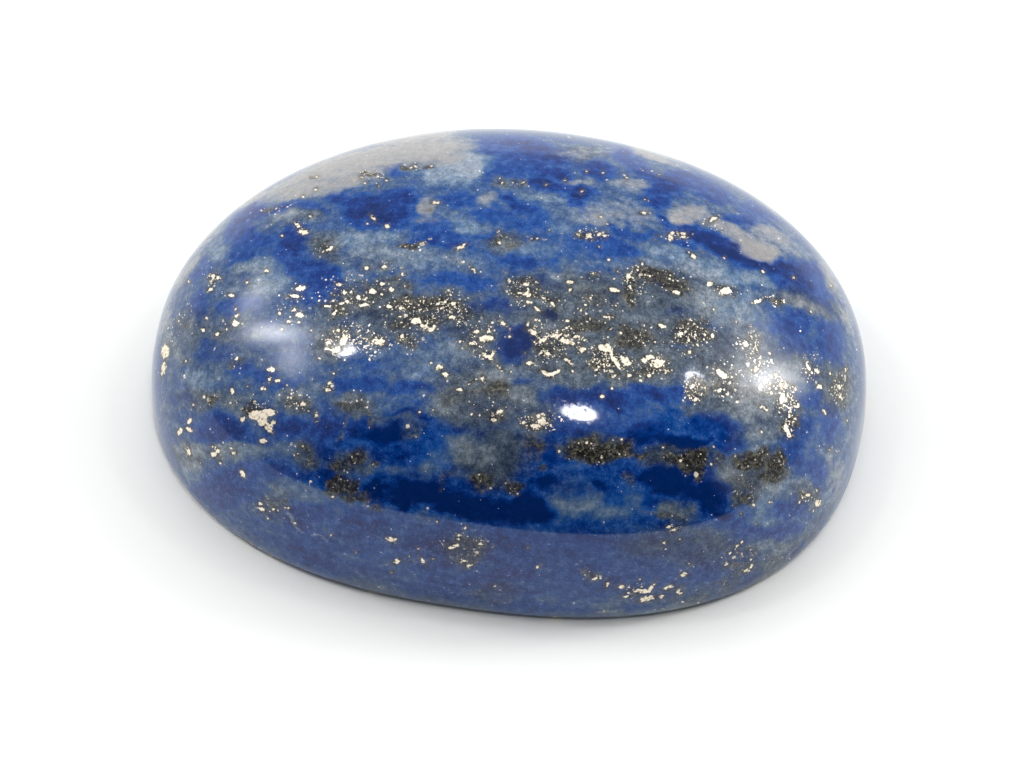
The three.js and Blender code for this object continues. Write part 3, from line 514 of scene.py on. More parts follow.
class View:
    """The view that the markings are placed on, and where its rays meet the stone."""

    def __init__(self, tree):
        self.right, self.up, back = view_axes(SHOW_AZIMUTH, SHOW_ELEVATION)
        self.eye = SHOW_MIDDLE + back * SHOW_DISTANCE
        self.tree = tree

    def ray(self, across, up):
        """The direction from the eye through a point of the view, given in millimetres."""
        target = SHOW_MIDDLE + self.right * (across * MM) + self.up * (up * MM)
        return (target - self.eye).normalized()

    def hit(self, across, up):
        """Where that ray meets the stone, and the normal there, or None."""
        place, normal, _, _ = self.tree.ray_cast(self.eye, self.ray(across, up))
        return (place, normal) if place else None

    def sees(self, place):
        """True if nothing of the stone is between the eye and that point."""
        way = place - self.eye
        first, _, _, _ = self.tree.ray_cast(self.eye, way.normalized())
        near_enough = 0.1 * MM
        return first is not None and (first - place).length < near_enough


def flat_on(view, place, normal, across, up):
    """The point of the tangent plane at place that the view's ray falls on."""
    ray = view.ray(across, up)
    facing = ray.dot(normal)
    return view.eye + ray * ((place - view.eye).dot(normal) / facing)


def shortened(way, half_size):
    """That way on the stone, shortened where the view grazes the stone and stretches it."""
    return way * min(1, MOST_STRETCH * half_size * MM / way.length)


def shares_of(long_way, wide_way, normal):
    """The 3 by 3 matrix that turns an offset from a mark's middle, in metres, into shares
    of the mark's half sizes."""
    through = normal * max(long_way.length, wide_way.length)
    return Matrix((long_way, wide_way, through)).transposed().inverted()


def mark_frame(view, mark):
    """The mark's middle on the stone and its matrix, or None where the view misses it."""
    found = view.hit(mark.across, mark.up)
    if not found:
        return None
    place, normal = found
    turn = math.radians(mark.turn)
    c, s = math.cos(turn), math.sin(turn)
    long_end = flat_on(
        view, place, normal, mark.across + mark.half_length * c, mark.up + mark.half_length * s
    )
    wide_end = flat_on(
        view, place, normal, mark.across - mark.half_width * s, mark.up + mark.half_width * c
    )
    long_way = shortened(long_end - place, mark.half_length)
    wide_way = shortened(wide_end - place, mark.half_width)
    return place, shares_of(long_way, wide_way, normal)


def distances(places, framed):
    """Each vertex's distance from the mark's middle, as a share of its half sizes."""
    middle, shares = framed
    return np.linalg.norm((places - np.array(middle)) @ np.array(shares).T, axis=1)


# ---------------------------------------------------------------- the stone's mesh


def quarter_at(angle):
    """The end, the long side and the fullness of the outline's quarter at that angle."""
    to_right, to_back = math.cos(angle) >= 0, math.sin(angle) >= 0
    end = (HALF_LENGTH, RIGHT_END_Y) if to_right else (-HALF_LENGTH, LEFT_END_Y)
    side = (BACK_SIDE_X, HALF_WIDTH) if to_back else (FRONT_SIDE_X, -HALF_WIDTH)
    if to_back:
        fullness = RIGHT_BACK_FULLNESS if to_right else LEFT_BACK_FULLNESS
    else:
        fullness = RIGHT_FRONT_FULLNESS if to_right else LEFT_FRONT_FULLNESS
    return end, side, fullness


def outline_at(angle):
    """The point of the widest outline for an angle that runs once round the stone."""
    end, side, fullness = quarter_at(angle)
    along_x = abs(math.cos(angle)) ** (2 / fullness)
    along_y = abs(math.sin(angle)) ** (2 / fullness)
    return Vector((side[0] + (end[0] - side[0]) * along_x, end[1] + (side[1] - end[1]) * along_y))


def profile_points(stone):
    """(share of the way to the outline, height) from the middle of the base to the crest."""
    inset = stone.edge_inset / HALF_LENGTH
    points = [(ring / stone.base_rings * (1 - inset), 0) for ring in range(stone.base_rings)]
    for ring in range(stone.edge_rings):
        turn = ring / stone.edge_rings * math.pi / 2
        share = 1 - inset * (1 - math.sin(turn))
        points.append((share, stone.girdle_height * (1 - math.cos(turn))))
    for ring in range(stone.dome_rings):
        rise = ring / stone.dome_rings * math.pi / 2
        share = math.cos(rise) ** (2 / TOP_FLATNESS)
        dome = math.sin(rise) ** (2 / FOOT_STEEPNESS)
        points.append((share, stone.girdle_height + (HEIGHT - stone.girdle_height) * dome))
    return points + [(0, HEIGHT)]


def turned_stone(stone):
    """The profile turned about Z, then each ring stretched from a circle to the outline."""
    bm = bmesh.new()
    chain = [bm.verts.new((share, 0, height)) for share, height in profile_points(stone)]
    edges = [bm.edges.new(pair) for pair in zip(chain, chain[1:])]
    bmesh.ops.spin(
        bm,
        geom=chain + edges,
        cent=(0, 0, 0),
        axis=(0, 0, 1),
        angle=math.tau,
        steps=stone.segments,
        use_merge=True,
    )
    bmesh.ops.remove_doubles(bm, verts=bm.verts, dist=1e-7)
    crest = Vector((0, CREST_Y))
    for vert in bm.verts:
        share = math.hypot(vert.co.x, vert.co.y)
        edge = outline_at(math.atan2(vert.co.y, vert.co.x))
        vert.co.xy = crest + (edge - crest) * share
    bmesh.ops.recalc_face_normals(bm, faces=bm.faces)
    for face in bm.faces:
        face.smooth = True
    return bm


def bump_of(distance):
    """A marking's strength: full to half its size, and fading to nothing at one and a half."""
    t = np.clip(1.5 - distance, 0, 1)
    return t * t * (3 - 2 * t)


def hidden_marks(view, places, normals, rng):
    """Markings for the back, the ends and the base, of the same kinds and sizes as those
    in front. Yields each with its field's name, its middle and its matrix."""
    for name, (marks, count) in MARKINGS.items():
        made = 0
        while made < count:
            index = rng.randrange(len(places))
            place, normal = Vector(places[index]), Vector(normals[index])
            if view.sees(place):
                continue
            mark = Mark(*rng.choice(marks))
            turn = math.radians(mark.turn + rng.uniform(-HIDDEN_TURN, HIDDEN_TURN))
            along = (Vector((1, 0, 0)) - normal * normal.x).normalized()
            across = normal.cross(along)
            long_way = (along * math.cos(turn) + across * math.sin(turn)) * mark.half_length * MM
            wide_way = normal.cross(long_way).normalized() * mark.half_width * MM
            yield name, mark, place, shares_of(long_way, wide_way, normal)
            made += 1


def wandered(places, reach, size, seed):
    """The places moved by up to about reach, in swirls of that size, so that a marking
    placed as an ellipse gets the ragged outline of a real one."""
    noise.seed_set(seed)
    moved = np.empty_like(places)
    for i, place in enumerate(places):
        moved[i] = noise.noise_vector(Vector(place) / size)
    return places + moved * reach


def marking_fields(bm):
    """The strength of each kind of marking at every vertex, and the grains' field: how
    far the vertex is inside a grain's edge, in millimetres."""
    tree = BVHTree.FromBMesh(bm)
    places = np.array([vert.co for vert in bm.verts])
    normals = np.array([vert.normal for vert in bm.verts])
    ragged = places
    for seed, (reach, size) in enumerate(WANDERINGS, start=1):
        ragged = wandered(ragged, reach, size, seed)
    view = View(tree)
    fields = {name: np.zeros(len(places)) for name in MARKINGS}
    fields["grain"] -= GRAIN_REACH_MM

    def lay(name, mark, place, matrix):
        if name == "grain":
            nearest = Vector(places[np.argmin(((places - np.array(place)) ** 2).sum(1))])
            inside = (1 - distances(places, (nearest, matrix))) * mark.half_width
            fields[name] = np.maximum(fields[name], inside)
        else:
            strength = mark.strength * bump_of(distances(ragged, (place, matrix)))
            fields[name] = np.maximum(fields[name], strength)

    for name, (marks, _) in MARKINGS.items():
        for mark in (Mark(*values) for values in marks):
            framed = mark_frame(view, mark)
            if framed:
                lay(name, mark, *framed)
    for found in hidden_marks(view, places, normals, random.Random(HIDDEN_SEED)):
        lay(*found)
    return fields


def add_object(name, bm):
    """A new object in the scene with the bmesh's shape, which is freed."""
    mesh = bpy.data.meshes.new(name)
    bm.to_mesh(mesh)
    bm.free()
    made = bpy.data.objects.new(name, mesh)
    bpy.context.scene.collection.objects.link(made)
    return made


def make_cabochon(stone):
    """The stone's object, with its markings kept as attributes."""
    bm = turned_stone(stone)
    fields = marking_fields(bm)
    piece = add_object("lapis_cabochon", bm)
    for name, values in fields.items():
        kept = piece.data.attributes.new(name, "FLOAT", "POINT")
        kept.data.foreach_set("value", values.astype(np.float32))
    return piece


# ---------------------------------------------------------------- finishes


def to_linear(colour):
    """An sRGB colour such as "#3c5a93", in Blender's linear red, green and blue."""
    shares = [int(colour[i : i + 2], 16) / 255 for i in (1, 3, 5)]
    return [s / 12.92 if s <= 0.04045 else ((s + 0.055) / 1.055) ** 2.4 for s in shares]


def add(tree, kind, inputs=(), out=0, **settings):
    """Adds a shader node and gives back one of its outputs. inputs, in order or by name,
    gives each input a value or the socket that it is linked to."""
    node = tree.nodes.new("ShaderNode" + kind)
    for name, value in settings.items():
        setattr(node, name, value)
    for name, value in inputs.items() if isinstance(inputs, dict) else enumerate(inputs):
        if isinstance(value, bpy.types.NodeSocket):
            tree.links.new(value, node.inputs[name])
        else:
            node.inputs[name].default_value = value
    return node.outputs[out] if len(node.outputs) else node


def set_stops(ramp, stops):
    """Gives a colour ramp its (position, colour) stops."""
    elements = ramp.node.color_ramp.elements
    while len(elements) < len(stops):
        elements.new(0.5)
    for element, (position, colour) in zip(elements, stops):
        element.position = position
        element.color = (*colour, 1)


# The stone's own unevenness: whether it is drawn out along the bedding, its size in
# millimetres, its detail and its seed. Lapis is a felt of crystals of 0.01 to 0.1 mm, and
# the pits of its polish are finer still. The crystals, the fine grain, the flecks and the
# polish are drawn coarser, at the sizes that they need to show.
UNEVENNESS = {
    "streaks": (True, 1.5, 2.0, 1),
    "wisps": (True, 0.45, 2.0, 2),
    "mottle": (False, 0.28, 2.0, 7),
    "clouds": (False, 1.2, 2.0, 3),
    "crystals": (False, 0.11, 2.0, 4),
    "fine": (False, 0.05, 1.0, 5),
    "flecks": (False, 0.085, 1.0, 8),
    "polish": (False, 0.13, 2.0, 6),
}
# Small pyrite specks: cell size in millimetres, how many of the cells hold one, and the
# smallest and largest radius as shares of a cell
SPECKS = ((0.26, 0.8, 0.12, 0.34), (0.14, 0.9, 0.14, 0.36), (0.08, 0.8, 0.2, 0.4))

# The bedding's turn about Z, and how far it draws its patterns out
BEDDING_TURN = math.radians(4)
BEDDING_SCALE = 0.37
ROUGHNESS_OF_NOISE = 0.6

# A part of the rock: where it starts, and how much of each marking and pattern is added.
# With a curve, it is then nothing up to low, and its most from high on.
Part = namedtuple("Part", "start weights curve low high most", defaults=(None, 0, 1, 1))
PARTS = {
    # The blue and the grey, from their deepest to almost white, and how grey the blue is
    "tone": Part(
        0.5,
        {"pale": 0.38, "deep": -0.38, "calcite": 0.3, "streaks": 0.4, "wisps": 0.6, "mottle": 0.5},
    ),
    "haze": Part(
        0.0,
        {"haze": 1.0, "deep": -0.6, "clouds": 0.6, "wisps": 0.8, "mottle": 0.8},
        "SMOOTHSTEP",
        low=-0.5,
        high=0.85,
        most=0.92,
    ),
    # Almost pure calcite, fading into pale blue
    "calcite": Part(
        0.0,
        {"calcite": 1.0, "streaks": 0.4, "wisps": 0.9, "mottle": 0.5},
        "SMOOTHSTEP",
        low=0.1,
        high=1.3,
        most=0.93,
    ),
    # Pyrite dust: where it is, and where there is a little light between its grains
    "dust": Part(
        0.0,
        {"dust": 1.0, "wisps": 1.2, "mottle": 0.9, "crystals": 0.6},
        "SMOOTHSTEP",
        low=0.24,
        high=1.1,
        most=0.94,
    ),
    "olive": Part(0.0, {"crystals": 1.0, "dust": -0.14}, "LINEAR", low=-0.2, high=0.08),
    # The dark rock round the single grains, wide where they swarm, and a narrow painted shadow
    # round each
    "rim": Part(
        0.0, {"grain": 1.0, "crystals": 0.3}, "SMOOTHSTEP", low=-0.17, high=-0.02, most=0.75
    ),
    "nest": Part(0.3, {"swarm": 0.7}),
    "shade": Part(0.0, {"grain": 1.0}, "LINEAR", low=-0.075, high=-0.015, most=0.7),
    # The single crystals as light and dark, a pale flush that is partly paler crystals and
    # partly painted glints, and the scratches with a painted glint
    "light": Part(0.0, {"crystals": 1.4, "fine": 1.4, "mottle": 1.0}),
    "bloom": Part(0.0, {"fine": 1.0, "crystals": 0.6, "mottle": 0.5}),
    "scratch": Part(
        0.0, {"scratch": 1.0, "crystals": 0.8}, "LINEAR", low=0.35, high=0.9, most=0.55
    ),
    # Pyrite: the grains that have marks, how its specks crowd, the threads of a swarm, and
    # where its faces get a painted shade
    "grains": Part(0.0, {"grain": 1.0, "crystals": 0.16}, "SMOOTHSTEP", low=-0.006, high=0.012),
    "crowd": Part(0.006, {"swarm": 0.45, "dust": 0.03, "mottle": 0.25}),
    "filigree": Part(
        0.0, {"flecks": 1.0, "swarm": 0.19, "mottle": 0.1}, "LINEAR", low=0.29, high=0.33
    ),
    "facets": Part(0.0, {"crystals": 1.0}, "LINEAR", low=-0.16, high=0.02),
    # The fine pits that the polish leaves everywhere
    "pits": Part(0.0, {"polish": 1.0, "flecks": 0.5}, "LINEAR", low=0.08, high=0.3, most=0.35),
}

# Where the blues lie from the deepest lazurite to almost pure calcite, and the greys
BLUE_STOPS = (0.0, 0.14, 0.32, 0.55, 0.78, 1.0)
GREY_STOPS = (0.0, 0.5, 1.0)
# Heights in millimetres between which painted glints of the polish's pits grow on the
# lower flank, a painted sheen lightens the lower edge, and the unpolished underside begins
FLANK_GLINT_MM = (5.0, 3.0)
EDGE_SHEEN_MM = (0.85, 0.3)
UNDERSIDE_MM = (0.12, 0.02)
BLOOM_AND_GLINT_COLOUR = (0.75, 1.05, 1.75)
PIT_DEPTH = 0.003 * MM
POLISH_IOR = 1.47  # lapis lazuli has 1.50, and its porous grain lowers it a little
# What a Mix node needs to mix colours. Its inputs 0, 6 and 7 are then the share of the
# second colour and the two colours.
OF_COLOURS = {"out": 2, "data_type": "RGBA"}


def polished_lapis(stone):
    """Lapis lazuli, cut and polished: blue lazurite streaked with white calcite, with
    clouds of grey diopside and grains of brassy pyrite. The polish gives it a thin clear
    gloss over deep colour, and the pyrite stays a soft metal in it."""
    material = bpy.data.materials.new("polished lapis lazuli")
    material.use_nodes = True
    material.node_tree.nodes.clear()
    node = partial(add, material.node_tree)

    # Object coordinates in millimetres, and the same drawn out along the bedding
    place = node("TexCoord", out="Object")
    even = node("Mapping", {"Vector": place, "Scale": (PER_MM, PER_MM, PER_MM)})
    drawn = node(
        "Mapping",
        {
            "Vector": place,
            "Rotation": (0, 0, BEDDING_TURN),
            "Scale": (BEDDING_SCALE * PER_MM, PER_MM, PER_MM),
        },
    )
    height = node("SeparateXYZ", (even,), out="Z")

    sources = {name: node("Attribute", out="Fac", attribute_name=name) for name in MARKINGS}
    for name, (bedded, size_mm, detail, seed) in UNEVENNESS.items():
        inputs = {
            "Vector": drawn if bedded else even,
            "W": seed * 10,
            "Scale": 1 / size_mm,
            "Detail": detail,
            "Roughness": ROUGHNESS_OF_NOISE,
        }
        value = node("TexNoise", inputs, noise_dimensions="4D")
        sources[name] = node("Math", (value, 0.5), operation="SUBTRACT")
    deep, crystals = sources["deep"], sources["crystals"]

    rock = SimpleNamespace()
    for name, part in PARTS.items():
        value = part.start
        for source, weight in part.weights.items():
            value = node("Math", (sources[source], weight, value), operation="MULTIPLY_ADD")
        if part.curve:
            steps = (value, part.low, part.high, 0.0, part.most)
            value = node("MapRange", steps, interpolation_type=part.curve)
        setattr(rock, name, value)

    # Lazurite to calcite in the blue, and the same lightness in the grey that clouds it
    blue, grey = node("ValToRGB", (rock.tone,)), node("ValToRGB", (rock.tone,))
    blues = (stone.navy, stone.ultramarine, stone.royal, stone.steel, stone.pale, stone.misty)
    set_stops(blue, list(zip(BLUE_STOPS, blues)))
    set_stops(grey, list(zip(GREY_STOPS, (stone.slate, stone.grey, stone.ash))))
    colour = node("Mix", {0: rock.haze, 6: blue, 7: grey}, **OF_COLOURS)
    colour = node("Mix", {0: rock.calcite, 6: colour, 7: (*stone.calcite, 1)}, **OF_COLOURS)

    # Pyrite dust, in its clouds and round the single grains, mixed at random with a painted
    # shade of the dust
    rim = node("Math", (rock.rim, rock.nest), operation="MULTIPLY")
    # The narrow painted shadow round each grain
    rim = node("Math", (rim, rock.shade), operation="MAXIMUM")
    dust = node("Math", (rock.dust, rim), operation="MAXIMUM")
    olive = {0: rock.olive, 6: (*stone.shaded_dust, 1), 7: (*stone.dust, 1)}
    colour = node("Mix", {0: dust, 6: colour, 7: node("Mix", olive, **OF_COLOURS)}, **OF_COLOURS)

    # The grain of the rock shows as light and dark, hardly as colour: most in the grey,
    # and little in deep blue and in calcite
    grit = node("Math", (rock.haze, 0.6, 0.6), operation="MULTIPLY_ADD")
    grit = node("Math", (deep, -0.4, grit), operation="MULTIPLY_ADD")
    grit = node("Math", (grit, 0.15), operation="MAXIMUM")
    plain = node("Math", (rock.calcite, -0.75, 1.0), operation="MULTIPLY_ADD")
    plain = node("Math", (plain, grit), operation="MULTIPLY")
    light = node("Math", (rock.light, plain, 1.0), operation="MULTIPLY_ADD")
    colour = node("VectorMath", {"Vector": colour, "Scale": light}, operation="SCALE")

    # A pale flush in the blue, partly paler crystals and partly painted glints of the light
    # that the polish's pits scatter: hardly in clear lazurite, and most on the lower flank
    bloom = node("Math", (rock.bloom, -0.03), operation="MAXIMUM")
    clear = node("MapRange", (deep, 0.85, 1.3, 0.09, 0.012))
    flank = node("MapRange", (height, *FLANK_GLINT_MM, 0.0, 0.15))
    clear = node("Math", (clear, flank), operation="ADD")
    bloom = node("Math", (bloom, clear), operation="MULTIPLY")
    colour = node("VectorMath", (bloom, BLOOM_AND_GLINT_COLOUR, colour), operation="MULTIPLY_ADD")

    # Fine scratches with one painted glint among them, and a painted sheen on the lower edge
    # that stands for the floor's reflection in it: all are paler and duller
    painted_edge_sheen = node("Math", (crystals, 0.6, height), operation="MULTIPLY_ADD")
    painted_edge_sheen = node("MapRange", (painted_edge_sheen, *EDGE_SHEEN_MM, 0.0, 0.32), interpolation_type="SMOOTHSTEP")
    scratch = node("Math", (rock.scratch, painted_edge_sheen), operation="MAXIMUM")
    colour = node("Mix", {0: scratch, 6: colour, 7: (*stone.misty, 1)}, **OF_COLOURS)

    # Pyrite: the grains that have marks, and specks that crowd where the swarms are
    grains = rock.grains
    for cell_mm, share, least, most in SPECKS:
        near = node("TexVoronoi", {"Vector": even, "Scale": 1 / cell_mm}, out="Distance")
        chance = node("SeparateColor", (near.node.outputs["Color"],))
        here = node("Math", (rock.crowd, share), operation="MULTIPLY")
        here = node("Math", (here, chance), operation="GREATER_THAN")
        size = node("Math", (chance.node.outputs[1], 2.0), operation="POWER")
        size = node("Math", (size, most - least, least), operation="MULTIPLY_ADD")
        size = node("Math", (crystals, 0.4, size), operation="MULTIPLY_ADD")
        inside = node("Math", (size, near), operation="SUBTRACT")
        inside = node("MapRange", (inside, -0.03, 0.06))
        bright = node("MapRange", (chance.node.outputs[2], 0.0, 0.7, 0.35, 1.0))
        speck = node("Math", (inside, here), operation="MULTIPLY")
        speck = node("Math", (speck, bright), operation="MULTIPLY")
        grains = node("Math", (grains, speck), operation="MAXIMUM")
    grains = node("Math", (grains, rock.filigree), operation="MAXIMUM")
    # Pyrite in its own colour, mixed at random with a painted shade of it
    facets = {0: rock.facets, 6: (*stone.shaded_pyrite, 1), 7: (*stone.pyrite, 1)}
    colour = node("Mix", {0: grains, 6: colour, 7: node("Mix", facets, **OF_COLOURS)}, **OF_COLOURS)

    metal = node("Math", (grains, 0.75), operation="MULTIPLY")
    dull = node("Math", (grains, 0.35), operation="MULTIPLY")
    dull = node("Math", (dust, 0.15, dull), operation="MULTIPLY_ADD")
    dull = node("Math", (scratch, 0.4, dull), operation="MULTIPLY_ADD")
    underside = node("MapRange", (height, *UNDERSIDE_MM, 0.0, 0.35))
    dull = node("Math", (dull, underside), operation="MAXIMUM")
    roughness = node("Math", (dull, stone.polish), operation="ADD")

    # The polish dips at the grains and in the dust, and leaves fine pits everywhere
    dips = node("Math", (dust, 0.5, grains), operation="MULTIPLY_ADD")
    dips = node("Math", (dips, crystals), operation="MULTIPLY")
    relief = node("Math", (dips, 6.0, rock.pits), operation="MULTIPLY_ADD")
    bump = node("Bump", {"Height": relief, "Strength": 1.0, "Distance": PIT_DEPTH})
    shader = node(
        "BsdfPrincipled",
        {
            "Base Color": colour,
            "Metallic": metal,
            "Roughness": roughness,
            "Normal": bump,
            "IOR": POLISH_IOR,
        },
    )
    node("OutputMaterial", {"Surface": shader})
    return material


def studio_floor(colour):
    """White acrylic sheet with a matt face: an even pale ground with no pattern."""
    material = bpy.data.materials.new("white acrylic sheet")
    material.use_nodes = True
    shader = material.node_tree.nodes["Principled BSDF"]
    shader.inputs["Base Color"].default_value = (*colour, 1)
    shader.inputs["Roughness"].default_value = 0.9
    shader.inputs["Specular IOR Level"].default_value = 0.0
    return material


# ---------------------------------------------------------------- the stage


# The tent's lit panels: azimuth (0 in front, 90 to the right), elevation, reach sideways
# and reach up and down, all in degrees, and brightness beside the white of the floor
PANELS = {
    "left_panel": (-103, 41, 5, 9, 15.0),
    "left_tail": (-88, 48, 12, 5, 7.0),
    "back_left_glow": (-150, 0, 50, 9, 0.4),
    "back_right_glow": (150, 0, 50, 9, 0.4),
    "left_top": (-117, 29, 7, 6, 6.0),
    "left_glow": (-100, 38, 18, 18, 0.9),
    "right_panel": (117, 30, 5, 13, 18.0),
    "right_tail": (127, 37, 7, 7, 5.0),
    "right_glow": (117, 34, 18, 22, 1.1),
}

# The tent's opening: the elevations between which its right edge is set back, and how
# many degrees its left, right and upper edges take to fade, to each side
OPENING_STEP = (32.0, 44.0)
LEFT_FADE = 8
RIGHT_FADE = 4.0
TOP_FADE = 2.5


def tent_light(stage):
    """A white light tent round the stone, lit from both sides through its cloth, and open
    in front where the camera stands."""
    world = bpy.data.worlds.new("light tent")
    world.use_nodes = True
    world.node_tree.nodes.clear()
    node = partial(add, world.node_tree)
    parts = node("SeparateXYZ", (node("TexCoord", out="Generated"),)).node.outputs
    ahead = node("Math", (parts["Y"], -1.0), operation="MULTIPLY")
    azimuth = node("Math", (parts["X"], ahead), operation="ARCTAN2")
    azimuth = node("Math", (azimuth,), operation="DEGREES")
    elevation = node("Math", (parts["Z"],), operation="ARCSINE")
    elevation = node("Math", (elevation,), operation="DEGREES")

    light = stage.tent_strength
    for across, up, wide, high, strength in PANELS.values():
        sideways = node("Math", (azimuth, across), operation="SUBTRACT")
        sideways = node("Math", (sideways, wide), operation="DIVIDE")
        upward = node("Math", (elevation, up), operation="SUBTRACT")
        upward = node("Math", (upward, high), operation="DIVIDE")
        square = node("Math", (sideways, sideways), operation="MULTIPLY")
        square = node("Math", (upward, upward, square), operation="MULTIPLY_ADD")
        fall = node("Math", (square, -1.0), operation="MULTIPLY")
        fall = node("Math", (fall,), operation="EXPONENT")
        light = node("Math", (fall, strength, light), operation="MULTIPLY_ADD")

    # The opening: its left, right and upper edges, the right one set back higher up
    back = (stage.opening_right, stage.opening_right + stage.opening_widens)
    right = node("MapRange", (elevation, *OPENING_STEP, *back), interpolation_type="SMOOTHSTEP")
    inside = node(
        "MapRange",
        (azimuth, stage.opening_left - LEFT_FADE, stage.opening_left + LEFT_FADE),
        interpolation_type="SMOOTHSTEP",
    )
    edges = ((right, azimuth, RIGHT_FADE), (stage.opening_top, elevation, TOP_FADE))
    for edge, angle, fade in edges:
        short = node("Math", (edge, angle), operation="SUBTRACT")
        short = node("MapRange", (short, -fade, fade), interpolation_type="SMOOTHSTEP")
        inside = node("Math", (inside, short), operation="MULTIPLY")
    cloth = node("Math", (1.0, inside), operation="SUBTRACT")
    light = node("Math", (light, cloth), operation="MULTIPLY")
    background = node("Background", {"Color": (1, 1, 1, 1), "Strength": light})
    node("OutputWorld", {"Surface": background})
    bpy.context.scene.world = world


# Azimuth (0 in front, 90 to the right), elevation, apparent size, all in degrees, the
# light that it adds on a surface that faces it, and whether reflections show it. The
# top cloth is far too even and wide to show as a lamp in the polish.
LAMPS = {
    "key_lamp": (29.5, 73.3, 6.6, 0.38, True),
    "left_lamp": (-93.0, 61.3, 4.5, 0.2, True),
    "right_lamp": (115, 56.9, 4.5, 0.18, True),
    "top_cloth": (180, 63, 60, 1.14, False),
}
LAMP_DISTANCE = 500 * MM  # a sun's light is the same at any distance


def add_lamp(name, azimuth, elevation, size, power, mirrored):
    """One of the lamps: a far disc, which Blender has as a sun."""
    lamp = bpy.data.lights.new(name, "SUN")
    lamp.angle = math.radians(size)
    lamp.energy = power
    holder = bpy.data.objects.new(name, lamp)
    _, _, way = view_axes(azimuth, elevation)
    holder.location = way * LAMP_DISTANCE
    holder.rotation_euler = way.to_track_quat("Z", "Y").to_euler()
    holder.visible_glossy = mirrored
    bpy.context.scene.collection.objects.link(holder)


def add_camera(stage):
    """The camera, on the side that the stone is shown from."""
    right, up, back = view_axes(SHOW_AZIMUTH, SHOW_ELEVATION)
    camera = bpy.data.cameras.new("camera")
    camera.lens = camera.sensor_width * SHOW_DISTANCE / stage.view_width
    camera.clip_start = 0.01
    camera.clip_end = 10
    holder = bpy.data.objects.new("camera", camera)
    holder.matrix_world = Matrix((right, up, back)).transposed().to_4x4()
    holder.location = SHOW_MIDDLE + back * SHOW_DISTANCE + right * CAMERA_RIGHT - up * CAMERA_DOWN
    bpy.context.scene.collection.objects.link(holder)
    bpy.context.scene.camera = holder


# ---------------------------------------------------------------- settings


def colour_setting(name, description, value):
    """A colour that a user can change, given as sRGB hex."""
    return FloatVectorProperty(
        name=name,
        description=description,
        subtype="COLOR",
        size=3,
        min=0,
        max=1,
        default=to_linear(value),
    )


def length_setting(name, description, value):
    """A length that a user can change."""
    return FloatProperty(
        name=name, description=description, default=value, min=0, subtype="DISTANCE", unit="LENGTH"
    )


class LapisStoneSettings(bpy.types.PropertyGroup):
    """The stone's sizes, the steps of its mesh and its colours"""

    girdle_height: length_setting(
        "Girdle height", "Height of the widest outline above the base", 0.4 * MM
    )
    edge_inset: length_setting(
        "Edge inset", "How far the flat base lies inside the outline, at the ends", 0.8 * MM
    )
    segments: IntProperty(
        name="Segments", description="Steps round the stone", default=600, min=24
    )
    dome_rings: IntProperty(name="Dome rings", description="Rings up the dome", default=150, min=8)
    edge_rings: IntProperty(
        name="Edge rings", description="Rings round the lower edge", default=6, min=2
    )
    base_rings: IntProperty(
        name="Base rings", description="Rings of the flat base", default=8, min=1
    )
    polish: FloatProperty(
        name="Polish", description="Roughness of the polished lazurite", default=0.06, min=0, max=1
    )
    navy: colour_setting("Navy", "Lazurite at its deepest", "#03225a")
    ultramarine: colour_setting("Ultramarine", "Lazurite in the streaks", "#062f74")
    royal: colour_setting("Royal blue", "Lazurite with a little calcite", "#16468c")
    steel: colour_setting("Steel blue", "More calcite in it", "#3a5a88")
    pale: colour_setting("Pale blue", "Lazurite and calcite in equal parts", "#5d7896")
    misty: colour_setting("Misty blue", "Calcite with a little lazurite", "#8492a4")
    slate: colour_setting("Slate", "Diopside at its darkest", "#1c242c")
    grey: colour_setting("Grey", "Diopside", "#4c5660")
    ash: colour_setting("Ash", "Diopside with calcite", "#8a9096")
    calcite: colour_setting("Calcite", "The pale patches", "#959290")
    # Painted shade: the dust where it mirrors nothing bright
    shaded_dust: colour_setting("Dark dust", "Pyrite dust in shadow", "#211f1a")
    dust: colour_setting("Dust", "Pyrite dust in grey rock", "#5e5a49")
    pyrite: colour_setting("Pyrite", "The brassy grains", "#fff4e2")
    # Painted shade, for some of the grains' faces
    shaded_pyrite: colour_setting("Dull pyrite", "The grains' shaded faces", "#b2a387")


class LapisStageSettings(bpy.types.PropertyGroup):
    """The floor, the framing and the light tent"""

    floor: colour_setting("Floor", "The pale floor", "#f3f4f2")
    floor_half_size: length_setting("Floor half size", "Middle of the floor to its edge", 3.0)
    view_width: length_setting("View width", "How much of the stone's plane is seen", 35.735 * MM)
    tent_strength: FloatProperty(
        name="Tent strength", description="Brightness of the tent's walls", default=0.45, min=0
    )
    opening_left: FloatProperty(
        name="Opening left", description="Azimuth of the opening's left edge", default=-38
    )
    opening_right: FloatProperty(
        name="Opening right", description="Azimuth of its right edge near the floor", default=57
    )
    opening_widens: FloatProperty(
        name="Opening widens",
        description="How much further round its right edge is higher up",
        default=31,
    )
    opening_top: FloatProperty(
        name="Opening top", description="Elevation of the opening's upper edge", default=64
    )


# ---------------------------------------------------------------- operators and panel


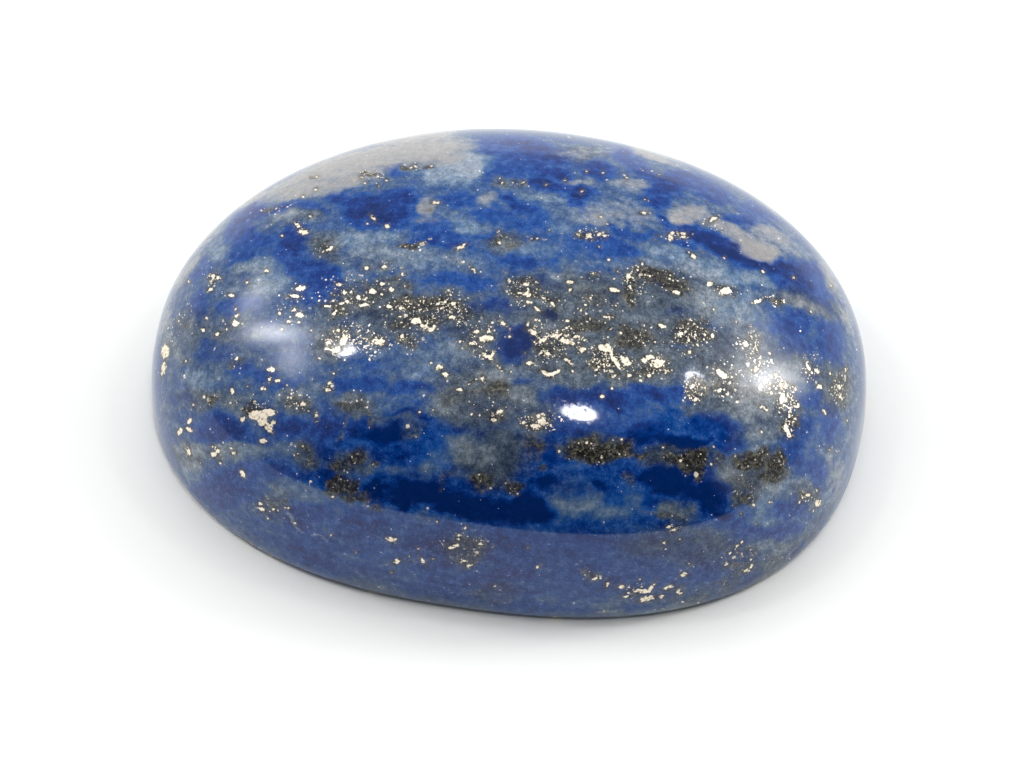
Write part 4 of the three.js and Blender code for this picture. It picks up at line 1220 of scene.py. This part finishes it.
class LAPIS_OT_cabochon(bpy.types.Operator):
    """Make the polished stone with its streaks, clouds and grains"""

    bl_idname = "lapis.cabochon"
    bl_label = "Make cabochon"

    def execute(self, context):
        stone = context.scene.lapis_stone
        piece = make_cabochon(stone)
        piece.data.materials.append(polished_lapis(stone))
        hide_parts("cabochon")
        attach(piece, "root")
        return {"FINISHED"}


class LAPIS_OT_stage(bpy.types.Operator):
    """Make the floor, the light tent with its lamps, and the camera"""

    bl_idname = "lapis.stage"
    bl_label = "Make stage"

    def execute(self, context):
        stage = context.scene.lapis_stage
        bm = bmesh.new()
        bmesh.ops.create_grid(bm, x_segments=1, y_segments=1, size=stage.floor_half_size)
        floor = add_object("floor", bm)
        floor.data.materials.append(studio_floor(stage.floor))
        tent_light(stage)
        for name, setting in LAMPS.items():
            add_lamp(name, *setting)
        add_camera(stage)
        context.scene.view_settings.view_transform = "Standard"
        return {"FINISHED"}


class LAPIS_PT_panel(bpy.types.Panel):
    """Lists the stone's and the stage's settings"""

    bl_label = "Lapis cabochon"
    bl_idname = "LAPIS_PT_panel"
    bl_space_type = "VIEW_3D"
    bl_region_type = "UI"
    bl_category = "Lapis"

    def draw(self, context):
        for title, settings, operator in (
            ("Stone", context.scene.lapis_stone, LAPIS_OT_cabochon),
            ("Stage", context.scene.lapis_stage, LAPIS_OT_stage),
        ):
            box = self.layout.box()
            box.label(text=title)
            for name in type(settings).__annotations__:
                box.prop(settings, name)
            box.operator(operator.bl_idname)


CLASSES = (
    LapisStoneSettings,
    LapisStageSettings,
    LAPIS_OT_cabochon,
    LAPIS_OT_stage,
    LAPIS_PT_panel,
)


def register():
    for cls in CLASSES:
        bpy.utils.register_class(cls)
    bpy.types.Scene.lapis_stone = PointerProperty(type=LapisStoneSettings)
    bpy.types.Scene.lapis_stage = PointerProperty(type=LapisStageSettings)


def unregister():
    del bpy.types.Scene.lapis_stage
    del bpy.types.Scene.lapis_stone
    for cls in reversed(CLASSES):
        bpy.utils.unregister_class(cls)


def main():
    register()
    bpy.ops.lapis.cabochon()
    bpy.ops.lapis.stage()


if __name__ == "__main__":
    main()
